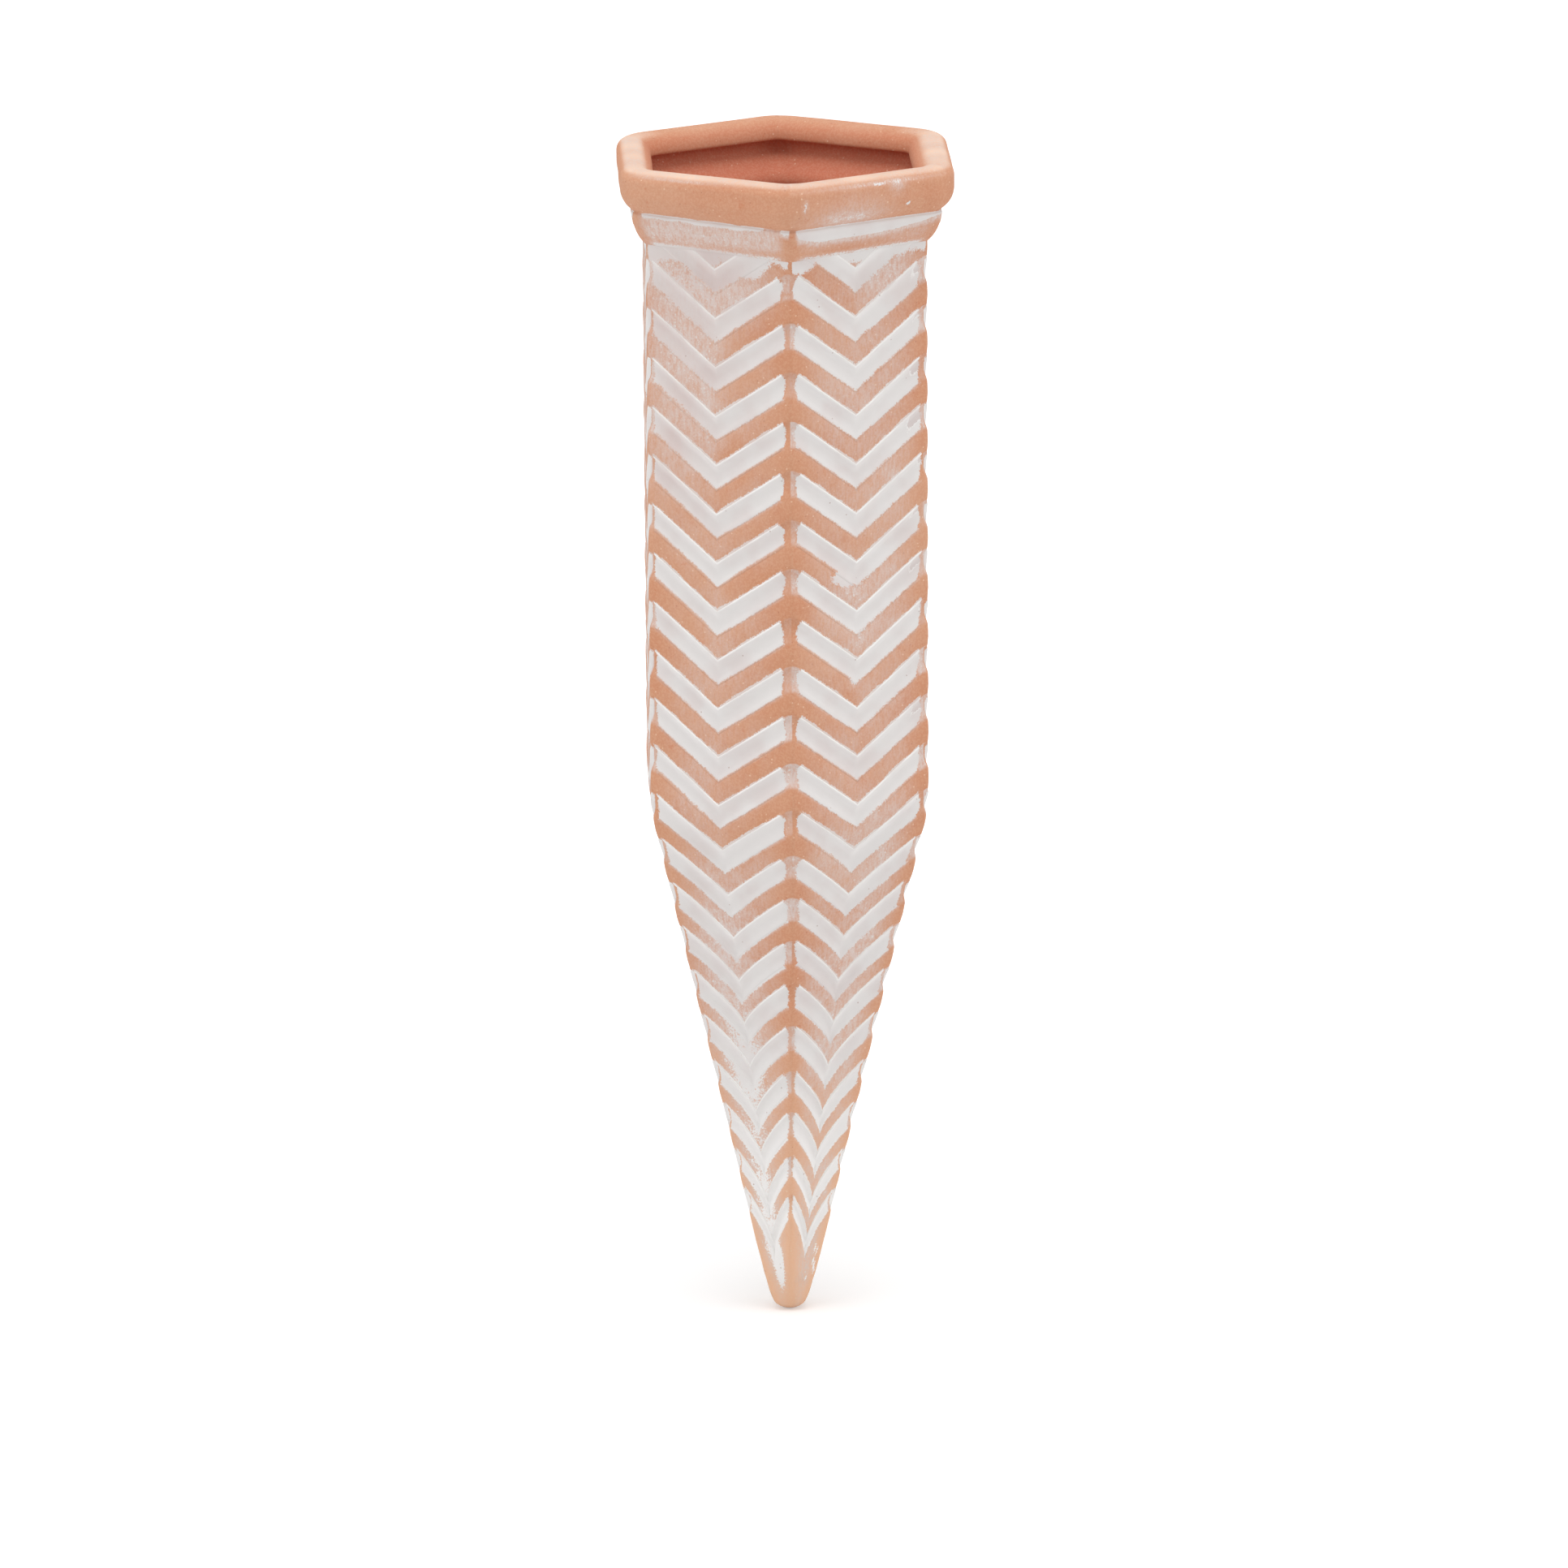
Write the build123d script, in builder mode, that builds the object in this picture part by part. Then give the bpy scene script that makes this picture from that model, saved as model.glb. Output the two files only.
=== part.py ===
from build123d import *
from math import atan, cos, pi, sin, tan
import os

# Self watering spike: one slip-cast hexagonal body of unglazed terracotta,
# with chevron grooves on all six sides and a thin lime wash in the grooves.
# Millimetres, +Z up, origin at the lowest point of the tip.
# Two corners of the hexagon lie on the Y axis, so two sides face along X.

# Overall
side_count = 6
total_height = 180.0
overrun = 1.0

# Rim, a rounded band round the mouth
rim_across_flats = 49.6
rim_height = 7.1
rim_corner_radius = 7.0
rim_lower_round = 3.6
rim_upper_round = 2.0

# Mouth, with a trimmed lip that stands in over the hollow
mouth_across_flats = 40.0
mouth_corner_radius = 2.4
mouth_edge_round = 1.0
lip_depth = 3.0
lip_draft = 0.6

# Collar, a second narrower band under the rim
collar_across_flats = 45.2
collar_height = 4.6
collar_corner_radius = 3.5
collar_lower_round = 2.2
neck_groove_height = 2.0
neck_groove_depth = 0.4
neck_corner_chamfer = 1.0

# Straight barrel
body_across_flats = 41.7
body_corner_chamfer = 0.35

# Taper below the barrel, and its blunt tip
taper_height = 81.6
tip_across_flats = 5.2
tip_radius = 3.25
tip_blend_angle = 60.0

# Hollow, which follows the outside at an even wall
wall = 3.2
hollow_corner_chamfer = 1.0
hollow_floor_height = 17.0
chamber_height = 1.0
throat_height = 4.5

# Chevron rows, V-shaped, their points down at the middle of each side
first_row_drop = 2.25
row_pitch = 7.44
taper_row_pitch = 7.25
lowest_row_height = 12.0
arm_rise = 8.4
apex_offset = 0.6
groove_depth = 0.75

# Groove section from its upper edge down, as shares of the pitch
step_share = 0.05
floor_share = 0.34
ramp_share = 0.20

# Lime wash that lies in the grooves
wash_thickness = 0.18
wash_ramp_share = 0.6
wash_end_gap = 0.8

# Heights and half widths that follow from the sizes above
rim_bottom = total_height - rim_height
collar_bottom = rim_bottom - collar_height
lip_bottom = total_height - lip_depth
chamber_bottom = lip_bottom - chamber_height
throat_bottom = chamber_bottom - throat_height
corner_turn = 180 / side_count
rim_apothem = rim_across_flats / 2
mouth_apothem = mouth_across_flats / 2
collar_apothem = collar_across_flats / 2
body_apothem = body_across_flats / 2
tip_apothem = tip_across_flats / 2
half_side = tan(pi / side_count)

# Lean of the tapered sides
lean_ratio = (body_apothem - tip_apothem) / taper_height
lean = atan(lean_ratio)

# Hollow half widths, and the height at which its sides start to lean
chamber_apothem = rim_apothem - wall
barrel_hollow_apothem = body_apothem - wall
hollow_floor_apothem = tip_apothem + lean_ratio * hollow_floor_height - wall / cos(lean)
hollow_shoulder = taper_height + wall * tan(lean / 2)

# Bottom of the groove between collar and rim
neck_apothem = collar_apothem - neck_groove_depth


def body_apothem_at(rise):
    """Half width of the body, at a distance along a side from the shoulder."""
    return body_apothem + min(rise, 0) * sin(lean)


def chevron_rows():
    """Height along a side, sideways offset, arm slope, reach and pitch of each row."""
    rows = []
    rise = collar_bottom - first_row_drop - taper_height
    lowest_rise = (lowest_row_height - taper_height) / cos(lean)
    pitch = row_pitch
    while rise > lowest_rise:
        share = body_apothem_at(rise) / body_apothem
        reach = body_apothem_at(rise + arm_rise) * half_side
        rows.append((rise, -apex_offset * share, arm_rise / reach, reach, pitch))
        if rise < row_pitch:
            pitch = taper_row_pitch
        rise -= pitch
    return rows


def groove_outline(pitch):
    """Section of one groove, as points outward and down from its upper edge."""
    step_end = step_share * pitch
    floor_end = step_end + floor_share * pitch
    ramp_end = floor_end + ramp_share * pitch
    return [
        (overrun, 0),
        (0, 0),
        (-groove_depth, step_end),
        (-groove_depth, floor_end),
        (0, ramp_end),
        (overrun, ramp_end),
    ]


def wash_outline(pitch):
    """Section of the wash in one groove, which thickens where floor and ramp meet."""
    step_end = step_share * pitch
    floor_end = step_end + floor_share * pitch
    ramp_part = wash_ramp_share * ramp_share * pitch
    return [
        (-groove_depth, step_end),
        (-groove_depth, floor_end),
        (wash_ramp_share * groove_depth - groove_depth, floor_end + ramp_part),
        (wash_thickness - groove_depth, step_end - step_end * wash_thickness / groove_depth),
    ]


def rounded_hexagon(apothem, corner_radius):
    """Hexagon with rounded corners, two of them on the Y axis."""
    with BuildSketch(mode=Mode.PRIVATE) as outline:
        RegularPolygon(apothem, side_count, major_radius=False, rotation=corner_turn)
        fillet(outline.vertices(), corner_radius)
    return outline.sketch


def chamfered_hexagon(apothem, corner_chamfer):
    """Hexagon with flattened corners, two of them on the Y axis."""
    with BuildSketch(mode=Mode.PRIVATE) as outline:
        RegularPolygon(apothem, side_count, major_radius=False, rotation=corner_turn)
        chamfer(outline.vertices(), corner_chamfer)
    return outline.sketch


# One side's pattern is made on the side that faces along +X
# The barrel's side stands upright, and the taper's side leans
across = Vector(0, 1, 0)
upright_out = Vector(1, 0, 0)
upright_up = Vector(0, 0, 1)
leaning_out = Vector(cos(lean), 0, -sin(lean))
leaning_up = Vector(sin(lean), 0, cos(lean))
shoulder = Vector(body_apothem, 0, taper_height)

rows = chevron_rows()
barrel_rows = [row for row in rows if row[0] + arm_rise + apex_offset > 0]
taper_rows = [row for row in rows if row[0] < row_pitch]


def add_rows(side_rows, outline_of, side_out, side_up):
    """Run a section along both arms of each row, in the part being built."""
    for rise, offset, slope, reach, pitch in side_rows:
        apex = shoulder + side_up * rise + across * offset
        for hand in (-1, 1):
            arm = across * hand + side_up * slope
            with BuildSketch(Plane(apex, x_dir=side_out, z_dir=across)) as section:
                with BuildLine():
                    Polyline(outline_of(pitch), close=True)
                make_face()
            arm_length = (reach + apex_offset + overrun) * arm.length
            extrude(section.sketch, amount=arm_length, dir=arm, clean=False)


# Chevron grooves of one side, above and below the shoulder
with BuildPart() as barrel_grooves:
    add_rows(barrel_rows, groove_outline, upright_out, upright_up)
    split(bisect_by=Plane.XY.offset(taper_height), keep=Keep.TOP)

with BuildPart() as taper_grooves:
    add_rows(taper_rows, groove_outline, leaning_out, leaning_up)
    split(bisect_by=Plane.XY.offset(taper_height), keep=Keep.BOTTOM)

# Wash in the same grooves
with BuildPart() as barrel_wash:
    add_rows(barrel_rows, wash_outline, upright_out, upright_up)
    split(bisect_by=Plane.XY.offset(taper_height), keep=Keep.TOP)

with BuildPart() as taper_wash:
    add_rows(taper_rows, wash_outline, leaning_out, leaning_up)
    split(bisect_by=Plane.XY.offset(taper_height), keep=Keep.BOTTOM)

# The wash of one side ends short of the body's corners and under the collar
window_bottom = lowest_row_height - row_pitch
window_low_reach = (tip_apothem + lean_ratio * window_bottom) * half_side - wash_end_gap
window_reach = body_apothem * half_side - wash_end_gap
window_half = [
    (0, window_bottom),
    (window_low_reach, window_bottom),
    (window_reach, taper_height),
    (window_reach, collar_bottom),
    (0, collar_bottom),
]

with BuildPart() as side_wash:
    add(barrel_wash.part)
    add(taper_wash.part)
    with BuildSketch(Plane.YZ):
        with BuildLine():
            Polyline(window_half)
            mirror(about=Plane.YZ)
        make_face()
    extrude(amount=rim_apothem, mode=Mode.INTERSECT)

# Collar, with the groove round its top
with BuildPart() as collar:
    with BuildSketch(Plane.XY.offset(collar_bottom)):
        add(rounded_hexagon(collar_apothem, collar_corner_radius))
    extrude(amount=collar_height)
    fillet(collar.faces().sort_by(Axis.Z)[0].edges(), collar_lower_round)
    with BuildSketch(Plane.XY.offset(rim_bottom)):
        add(rounded_hexagon(rim_apothem, rim_corner_radius))
        add(chamfered_hexagon(neck_apothem, neck_corner_chamfer), mode=Mode.SUBTRACT)
    extrude(amount=-neck_groove_height, mode=Mode.SUBTRACT)

# Rim, rounded outside above and below
with BuildPart() as rim:
    with BuildSketch(Plane.XY.offset(rim_bottom)):
        add(rounded_hexagon(rim_apothem, rim_corner_radius))
    extrude(amount=rim_height)
    fillet(rim.faces().sort_by(Axis.Z)[0].edges(), rim_lower_round)
    fillet(rim.faces().sort_by(Axis.Z)[-1].edges(), rim_upper_round)

# Hollow from the floor near the tip up to the wider chamber under the lip
with BuildPart() as hollow:
    for height, apothem in (
        (hollow_floor_height, hollow_floor_apothem),
        (hollow_shoulder, barrel_hollow_apothem),
        (throat_bottom, barrel_hollow_apothem),
        (chamber_bottom, chamber_apothem),
        (lip_bottom, chamber_apothem),
    ):
        with BuildSketch(Plane.XY.offset(height)):
            add(chamfered_hexagon(apothem, hollow_corner_chamfer))
    loft(ruled=True)

# Crown: collar and rim together, opened by the mouth and the top of the hollow
# The mouth is a little narrower at the foot of the lip
with BuildPart() as crown:
    add(collar.part)
    add(rim.part)
    add(hollow.part, mode=Mode.SUBTRACT)
    with BuildSketch(Plane.XY.offset(lip_bottom)):
        add(rounded_hexagon(mouth_apothem - lip_draft, mouth_corner_radius))
    with BuildSketch(Plane.XY.offset(total_height)):
        add(rounded_hexagon(mouth_apothem, mouth_corner_radius))
    loft(ruled=True, mode=Mode.SUBTRACT)
    mouth_edges = crown.faces().sort_by(Axis.Z)[-1].inner_wires()[0].edges()
    fillet(mouth_edges, mouth_edge_round)

# Wedge that lies outside one leaning side of the taper
with BuildPart() as side_wedge:
    with BuildSketch(Plane.XZ):
        with BuildLine():
            Polyline(
                (tip_apothem, 0),
                (body_apothem, taper_height),
                (rim_apothem, taper_height),
                (rim_apothem, 0),
                close=True,
            )
        make_face()
    extrude(amount=rim_apothem, both=True)

# The casting: barrel and taper, blunt tip, hollow and grooves, then the crown
with BuildPart() as clay_body:
    with BuildSketch(Plane.XY):
        RegularPolygon(body_apothem, side_count, major_radius=False, rotation=corner_turn)
    extrude(amount=rim_bottom)
    with PolarLocations(0, side_count):
        add(side_wedge.part, mode=Mode.SUBTRACT)
    corner_edges = clay_body.edges() - clay_body.edges().filter_by(Plane.XY)
    chamfer(corner_edges, body_corner_chamfer)
    with BuildSketch(Plane.XZ):
        with BuildLine():
            nose = JernArc((0, 0), (1, 0), tip_radius, tip_blend_angle)
            flare = PolarLine(nose @ 1, rim_across_flats, tip_blend_angle)
            flare_edge = (flare @ 1).X
            Polyline(flare @ 1, (flare_edge, total_height), (0, total_height), (0, 0))
        make_face()
    revolve(axis=Axis.Z, mode=Mode.INTERSECT)
    add(hollow.part, mode=Mode.SUBTRACT)
    with PolarLocations(0, side_count):
        add(barrel_grooves.part, clean=False, mode=Mode.SUBTRACT)
        add(taper_grooves.part, clean=False, mode=Mode.SUBTRACT)
    add(crown.part, clean=False)

# Wash that lies in the groove between collar and rim
with BuildPart() as wash_collar:
    with BuildSketch(Plane.XY.offset(rim_bottom)):
        add(chamfered_hexagon(neck_apothem + wash_thickness, neck_corner_chamfer))
        add(chamfered_hexagon(neck_apothem, neck_corner_chamfer), mode=Mode.SUBTRACT)
    extrude(amount=-neck_groove_height)

os.makedirs("parts", exist_ok=True)

clay_body.part.label = "clay_body"
export_step(clay_body.part, "parts/clay_body.step")

wash_collar.part.label = "wash_collar"
export_step(wash_collar.part, "parts/wash_collar.step")

for side in range(side_count):
    with BuildPart() as wash_side:
        add(side_wash.part, rotation=(0, 0, 2 * corner_turn * side))
    wash_side.part.label = f"wash_side_{side + 1}"
    export_step(wash_side.part, f"parts/{wash_side.part.label}.step")
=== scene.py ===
"""Looks of the self watering spike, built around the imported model.

The spike is one slip-cast hexagonal body of unglazed terracotta. Chevron
grooves run down its six sides, with lime wash rubbed into them.
Metres, +Z up, the lowest point of the tip at the origin. Sizes are held in
millimetres and turned into metres when a mesh is made. A pair such as a
start and an end is kept together in one named tuple.
"""

import logging
import math
from dataclasses import dataclass
from enum import Enum

import bpy
import numpy as np
from mathutils import Matrix, Vector


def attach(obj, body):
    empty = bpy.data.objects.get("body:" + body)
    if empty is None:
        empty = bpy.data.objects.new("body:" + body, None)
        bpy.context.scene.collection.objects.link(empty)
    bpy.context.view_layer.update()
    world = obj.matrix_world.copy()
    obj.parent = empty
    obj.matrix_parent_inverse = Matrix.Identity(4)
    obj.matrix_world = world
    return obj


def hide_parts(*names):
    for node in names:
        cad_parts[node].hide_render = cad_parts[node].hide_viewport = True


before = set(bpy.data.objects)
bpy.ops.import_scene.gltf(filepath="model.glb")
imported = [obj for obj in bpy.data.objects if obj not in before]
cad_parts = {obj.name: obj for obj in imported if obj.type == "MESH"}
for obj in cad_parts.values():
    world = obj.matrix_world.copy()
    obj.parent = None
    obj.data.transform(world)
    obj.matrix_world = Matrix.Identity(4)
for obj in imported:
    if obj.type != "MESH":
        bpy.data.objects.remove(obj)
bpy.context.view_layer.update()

logging.basicConfig(level=logging.INFO, format="%(message)s")
log = logging.getLogger("spike")

Array = np.ndarray
Values = dict[str, Array]
Pair = tuple[float, float]
Triple = tuple[float, float, float]
Floats = tuple[float, ...]
Colour = tuple[float, float, float]
Socket = bpy.types.NodeSocket
Material = bpy.types.Material

MM = 0.001
SIDES = 6
SIDE_STEP = 360.0 / SIDES
TURN = math.pi / SIDES
HALF_SIDE = math.tan(TURN)
ROOT = "root"
WHITE = (1.0, 1.0, 1.0, 1.0)


class Slot(Enum):
    """Material slots of the record."""

    TERRACOTTA = "terracotta"
    WHITEWASH = "whitewash"


class Side(Enum):
    """Direction that each side faces, in degrees counter-clockwise from +X."""

    ONE = 0
    TWO = 60
    THREE = 120
    FOUR = 180
    FIVE = 240
    SIX = 300


SIDE_ANGLES = np.array([side.value for side in Side], float)


def smoothstep(low: float | Array, high: float | Array, x: Array) -> Array:
    """Smooth rise from 0 at low to 1 at high: t * t * (3 - 2 t)."""
    t = np.clip((x - low) / (high - low), 0.0, 1.0)
    return t * t * (3.0 - 2.0 * t)


def blend(a: float | Array, b: float | Array, share: float | Array) -> float | Array:
    """Value that lies a share of the way from a to b."""
    return a + (b - a) * share


def soft_min(a: Array, b: Array, width: float | Array) -> Array:
    """Smaller of two values, with the kink between them rounded.

    Where the two differ by less than width, the result dips below both by
    a parabola: min(a, b) - (width - |a - b|)^2 / (4 width).

    Args:
        a: First values.
        b: Second values.
        width: Span over which the two are blended.

    Returns:
        The blended values.
    """
    near = np.clip(width - np.abs(a - b), 0.0, None)
    return np.minimum(a, b) - near * near / (4.0 * width)


def ripple(x: Array, y: Array, length: float, seed: int) -> Array:
    """Gentle unevenness over a surface, as a sum of twelve plane waves.

    Each wave is sin(kx x + ky y + phase), with its own seeded direction and
    phase and a wavelength from 0.6 to 1.7 times the given length.

    Args:
        x: First coordinate, in millimetres.
        y: Second coordinate, in millimetres.
        length: Mean wavelength, in millimetres.
        seed: Seed of the directions and phases.

    Returns:
        Values mostly from -1 to 1.
    """
    rng = np.random.default_rng(seed)
    count = 12
    angle = rng.uniform(0.0, 2.0 * math.pi, count)
    phase = rng.uniform(0.0, 2.0 * math.pi, count)
    wave = 2.0 * math.pi / (length * rng.uniform(0.6, 1.7, count))
    across = np.multiply.outer(x, wave * np.cos(angle))
    along = np.multiply.outer(y, wave * np.sin(angle))
    return np.sin(across + along + phase).sum(-1) / math.sqrt(count)


def turned(out: Array, aside: Array, angle: Array) -> tuple[Array, Array]:
    """Place in x and y of points that lie out along a side's direction and aside of it.

    Args:
        out: Distance along the direction.
        aside: Distance to its left.
        angle: The direction, in degrees.

    Returns:
        The x and y of each point.
    """
    turn = np.radians(angle)
    return out * np.cos(turn) - aside * np.sin(turn), out * np.sin(turn) + aside * np.cos(turn)


def surface_normals(points: Array) -> Array:
    """Outward unit normals of a grid whose columns close into a ring.

    The normal is the cross product of the step to the next column and the
    step to the next row up, scaled to length one.

    Args:
        points: Grid of points, rows upward, columns counter-clockwise.

    Returns:
        Grid of unit vectors.
    """
    wrapped = np.concatenate([points[:, -1:], points, points[:, :1]], 1)
    normal = np.cross(np.gradient(wrapped, axis=1), np.gradient(wrapped, axis=0))[:, 1:-1]
    return normal / np.maximum(np.linalg.norm(normal, axis=-1, keepdims=True), 1e-12)


def ring_faces(rows: int, columns: int, closed: bool = False) -> Array:
    """Quads of a grid whose columns close into a ring.

    Args:
        rows: Number of rings.
        columns: Number of points in each ring.
        closed: Whether the last ring is joined to the first.

    Returns:
        Array of four point numbers a face.
    """
    start = np.arange(rows if closed else rows - 1)[:, None] * columns
    above = (start + columns) % (rows * columns)
    here = np.arange(columns)[None, :]
    after = (here + 1) % columns
    return np.stack([start + here, start + after, above + after, above + here], -1).reshape(-1, 4)


def film_faces(rows: int, columns: int) -> list[Array]:
    """Quads of a closed film: its face, its back and the wall between them.

    Args:
        rows: Number of rows of the face, and of the back, whose points follow.
        columns: Number of points in each row.

    Returns:
        Arrays of four point numbers a face.
    """
    number = np.arange(rows * columns).reshape(rows, columns)
    quads = [number[:-1, :-1], number[:-1, 1:], number[1:, 1:], number[1:, :-1]]
    face = np.stack(quads, -1).reshape(-1, 4)
    rim = np.concatenate([number[0, :], number[1:, -1], number[-1, -2::-1], number[-2:0:-1, 0]])
    after, under = np.roll(rim, -1), number.size
    return [face, face[:, ::-1] + under, np.stack([after, rim, rim + under, after + under], -1)]


def make_piece(name: str, points: Array, faces: list[Array], values: Values,
               material: Material) -> bpy.types.Object:
    """Make one smooth mesh piece with its surface values, riding on the root body.

    Args:
        name: Name of the piece.
        points: Points in millimetres, one row each.
        faces: Arrays of point numbers, one row for each face.
        values: Surface values, one for each point, by attribute name.
        material: Material of the piece.

    Returns:
        The new object.
    """
    mesh = bpy.data.meshes.new(name)
    rows = [face for block in faces for face in block.tolist()]
    mesh.from_pydata((points * MM).tolist(), [], rows)
    mesh.shade_smooth()
    for key, value in values.items():
        attribute = mesh.attributes.new(key, "FLOAT", "POINT")
        attribute.data.foreach_set("value", value.astype(np.float32))
    mesh.validate()
    mesh.materials.append(material)
    piece = bpy.data.objects.new(name, mesh)
    bpy.context.scene.collection.objects.link(piece)
    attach(piece, ROOT)
    triangles = sum(len(face) - 2 for face in rows)
    log.info("%s: %d points, %d triangles", name, len(points), triangles)
    return piece


@dataclass
class Grid:
    """Grid of surface points, rows by columns, with what is known at each point.

    angle is the direction of the point's side in degrees, u its distance from
    the middle of the side, z its height and half the side's half length there,
    in millimetres. row is the row number, whole at each upper edge.
    """

    points: Array
    angle: Array
    u: Array
    z: Array
    half: Array
    row: Array

    @property
    def gap(self) -> Array:
        """Distance to the nearer vertical corner, in millimetres."""
        return self.half - np.abs(self.u)

    @property
    def phase(self) -> Array:
        """Share of the way from one upper edge down to the next."""
        return self.row - np.floor(self.row)

    @property
    def side(self) -> Array:
        """Number of the point's side, from 0."""
        return np.round(self.angle / SIDE_STEP).astype(int)

    @property
    def hand(self) -> Array:
        """0 in the left half of a side, 1 in the right half."""
        return (self.u > 0.0).astype(int)

    def ripple(self, length: float, seed: int) -> Array:
        """Gentle unevenness that each side has for itself."""
        return ripple(self.u + self.angle, self.z, length, seed)

    def by_row(self, spread: float, seed: int) -> Array:
        """Seeded offset that each arm of each row has for itself.

        Args:
            spread: Largest offset either way.
            seed: Seed of the offsets.

        Returns:
            An offset for each point.
        """
        rng = np.random.default_rng(seed)
        table = rng.uniform(-spread, spread, (SIDES, 2, len(Shaft.apex_heights) + 1))
        return table[self.side, self.hand, np.floor(self.row + 0.15).astype(int)]


@dataclass(frozen=True)
class Smear:
    """A place on a side where wash lies outside the grooves, or is worn away.

    Its strength falls off from the middle as exp(-(du / reach_u)^2 - (dz / reach_z)^2),
    with du and dz the distances along and across a line that leans by lean degrees.
    """

    u: float
    z: float
    reach_u: float
    reach_z: float
    lean: float = 0.0
    paint: float = 0.0
    haze: float = 0.0
    thin: float = 0.0

    def strength(self, u: Array, z: Array) -> Array:
        """Strength of the smear at points of its side.

        Args:
            u: Distances from the middle of the side, in millimetres.
            z: Heights, in millimetres.

        Returns:
            Values from 0 to 1.
        """
        du, dz = u - self.u, z - self.z
        lean = math.radians(self.lean)
        along = du * math.cos(lean) + dz * math.sin(lean)
        up = dz * math.cos(lean) - du * math.sin(lean)
        return np.exp(-(along / self.reach_u) ** 2 - (up / self.reach_z) ** 2)


@dataclass(frozen=True)
class Wear:
    """Where wash was left and where it was rubbed off, side by side."""

    smears: dict[Side, tuple[Smear, ...]]

    def values(self, grid: Grid) -> Values:
        """Paint, haze and thinness from all the smears together.

        Args:
            grid: Grid of the surface.

        Returns:
            The three values by name, from 0 to a little over 1.
        """
        found = {key: np.zeros_like(grid.z) for key in ("paint", "haze", "thin")}
        for side, smears in self.smears.items():
            here = np.isclose(grid.angle, side.value)
            for smear in smears:
                strength = here * smear.strength(grid.u, grid.z)
                for key, value in found.items():
                    room = 1.0 - np.clip(value, 0.0, 1.0)
                    found[key] = value + getattr(smear, key) * strength * room
        return found


@dataclass(frozen=True)
class Form:
    """Outside form of barrel, taper and tip."""

    body_apothem: float = 20.85
    tip_apothem: float = 2.6
    taper_height: float = 81.6
    shoulder_blend: float = 0.5
    corner_round: float = 0.8
    corner_share: float = 0.6
    nose_radius: float = 3.25
    nose_flat: float = 0.55
    nose_top: float = 5.2
    nose_slope: float = 2.0
    nose_blend: float = 1.4
    nose_blend_height: float = 1.5
    nose_reach: float = 11.0
    round_excess: float = 0.04

    def apothem(self, z: Array) -> Array:
        """Half width across flats at a height.

        The straight barrel and the straight taper meet in a slightly rounded
        shoulder. The nose, sqrt(2 r z - nose_flat z^2) up to nose_top and
        straight from there, closes the tip.

        Args:
            z: Heights, in millimetres.

        Returns:
            Half widths, in millimetres.
        """
        slope = (self.body_apothem - self.tip_apothem) / self.taper_height
        barrel = np.full_like(z, self.body_apothem)
        body = soft_min(self.tip_apothem + slope * z, barrel, self.shoulder_blend)
        low = np.clip(z, 0.0, self.nose_top)
        nose = np.sqrt(np.clip(2.0 * self.nose_radius * low - low * low * self.nose_flat, 0.0, None))
        nose = nose + self.nose_slope * np.clip(z - low, 0.0, None)
        width = self.nose_blend * np.clip(z / self.nose_blend_height, 0.02, 1.0)
        return np.clip(soft_min(body, nose, width), 0.0, None)

    def place(self, angle: Array, v: Array, a: Array, z: Array, corner: Array) -> Array:
        """Points on a rounded hexagon.

        A point lies v half sides from the middle of its side. Where that is
        past the flat, it goes round an arc of the corner's radius instead.
        Below nose_reach the hexagon turns into a circle.

        Args:
            angle: Direction of each point's side, in degrees.
            v: Place across the side, -1 to 1.
            a: Half width across flats, in millimetres.
            z: Height, in millimetres.
            corner: Radius of the vertical corners, in millimetres.

        Returns:
            Points in millimetres.
        """
        flat = np.clip(a - corner, 0.0, None) * HALF_SIDE
        u = np.abs(v) * a * HALF_SIDE
        bend = TURN * np.clip((u - flat) / np.maximum(corner * HALF_SIDE, 1e-9), 0.0, 1.0)
        on_arc = u > flat
        out = np.where(on_arc, a - corner + corner * np.cos(bend), a)
        aside = np.sign(v) * np.where(on_arc, flat + corner * np.sin(bend), u)
        circle = 1.0 - smoothstep(0.0, self.nose_reach, z)
        radius = a * (1.0 + self.round_excess * (1.0 - circle))
        out = blend(out, radius * np.cos(v * TURN), circle)
        aside = blend(aside, radius * np.sin(v * TURN), circle)
        return np.stack([*turned(out, aside, angle), z], -1)


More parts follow.
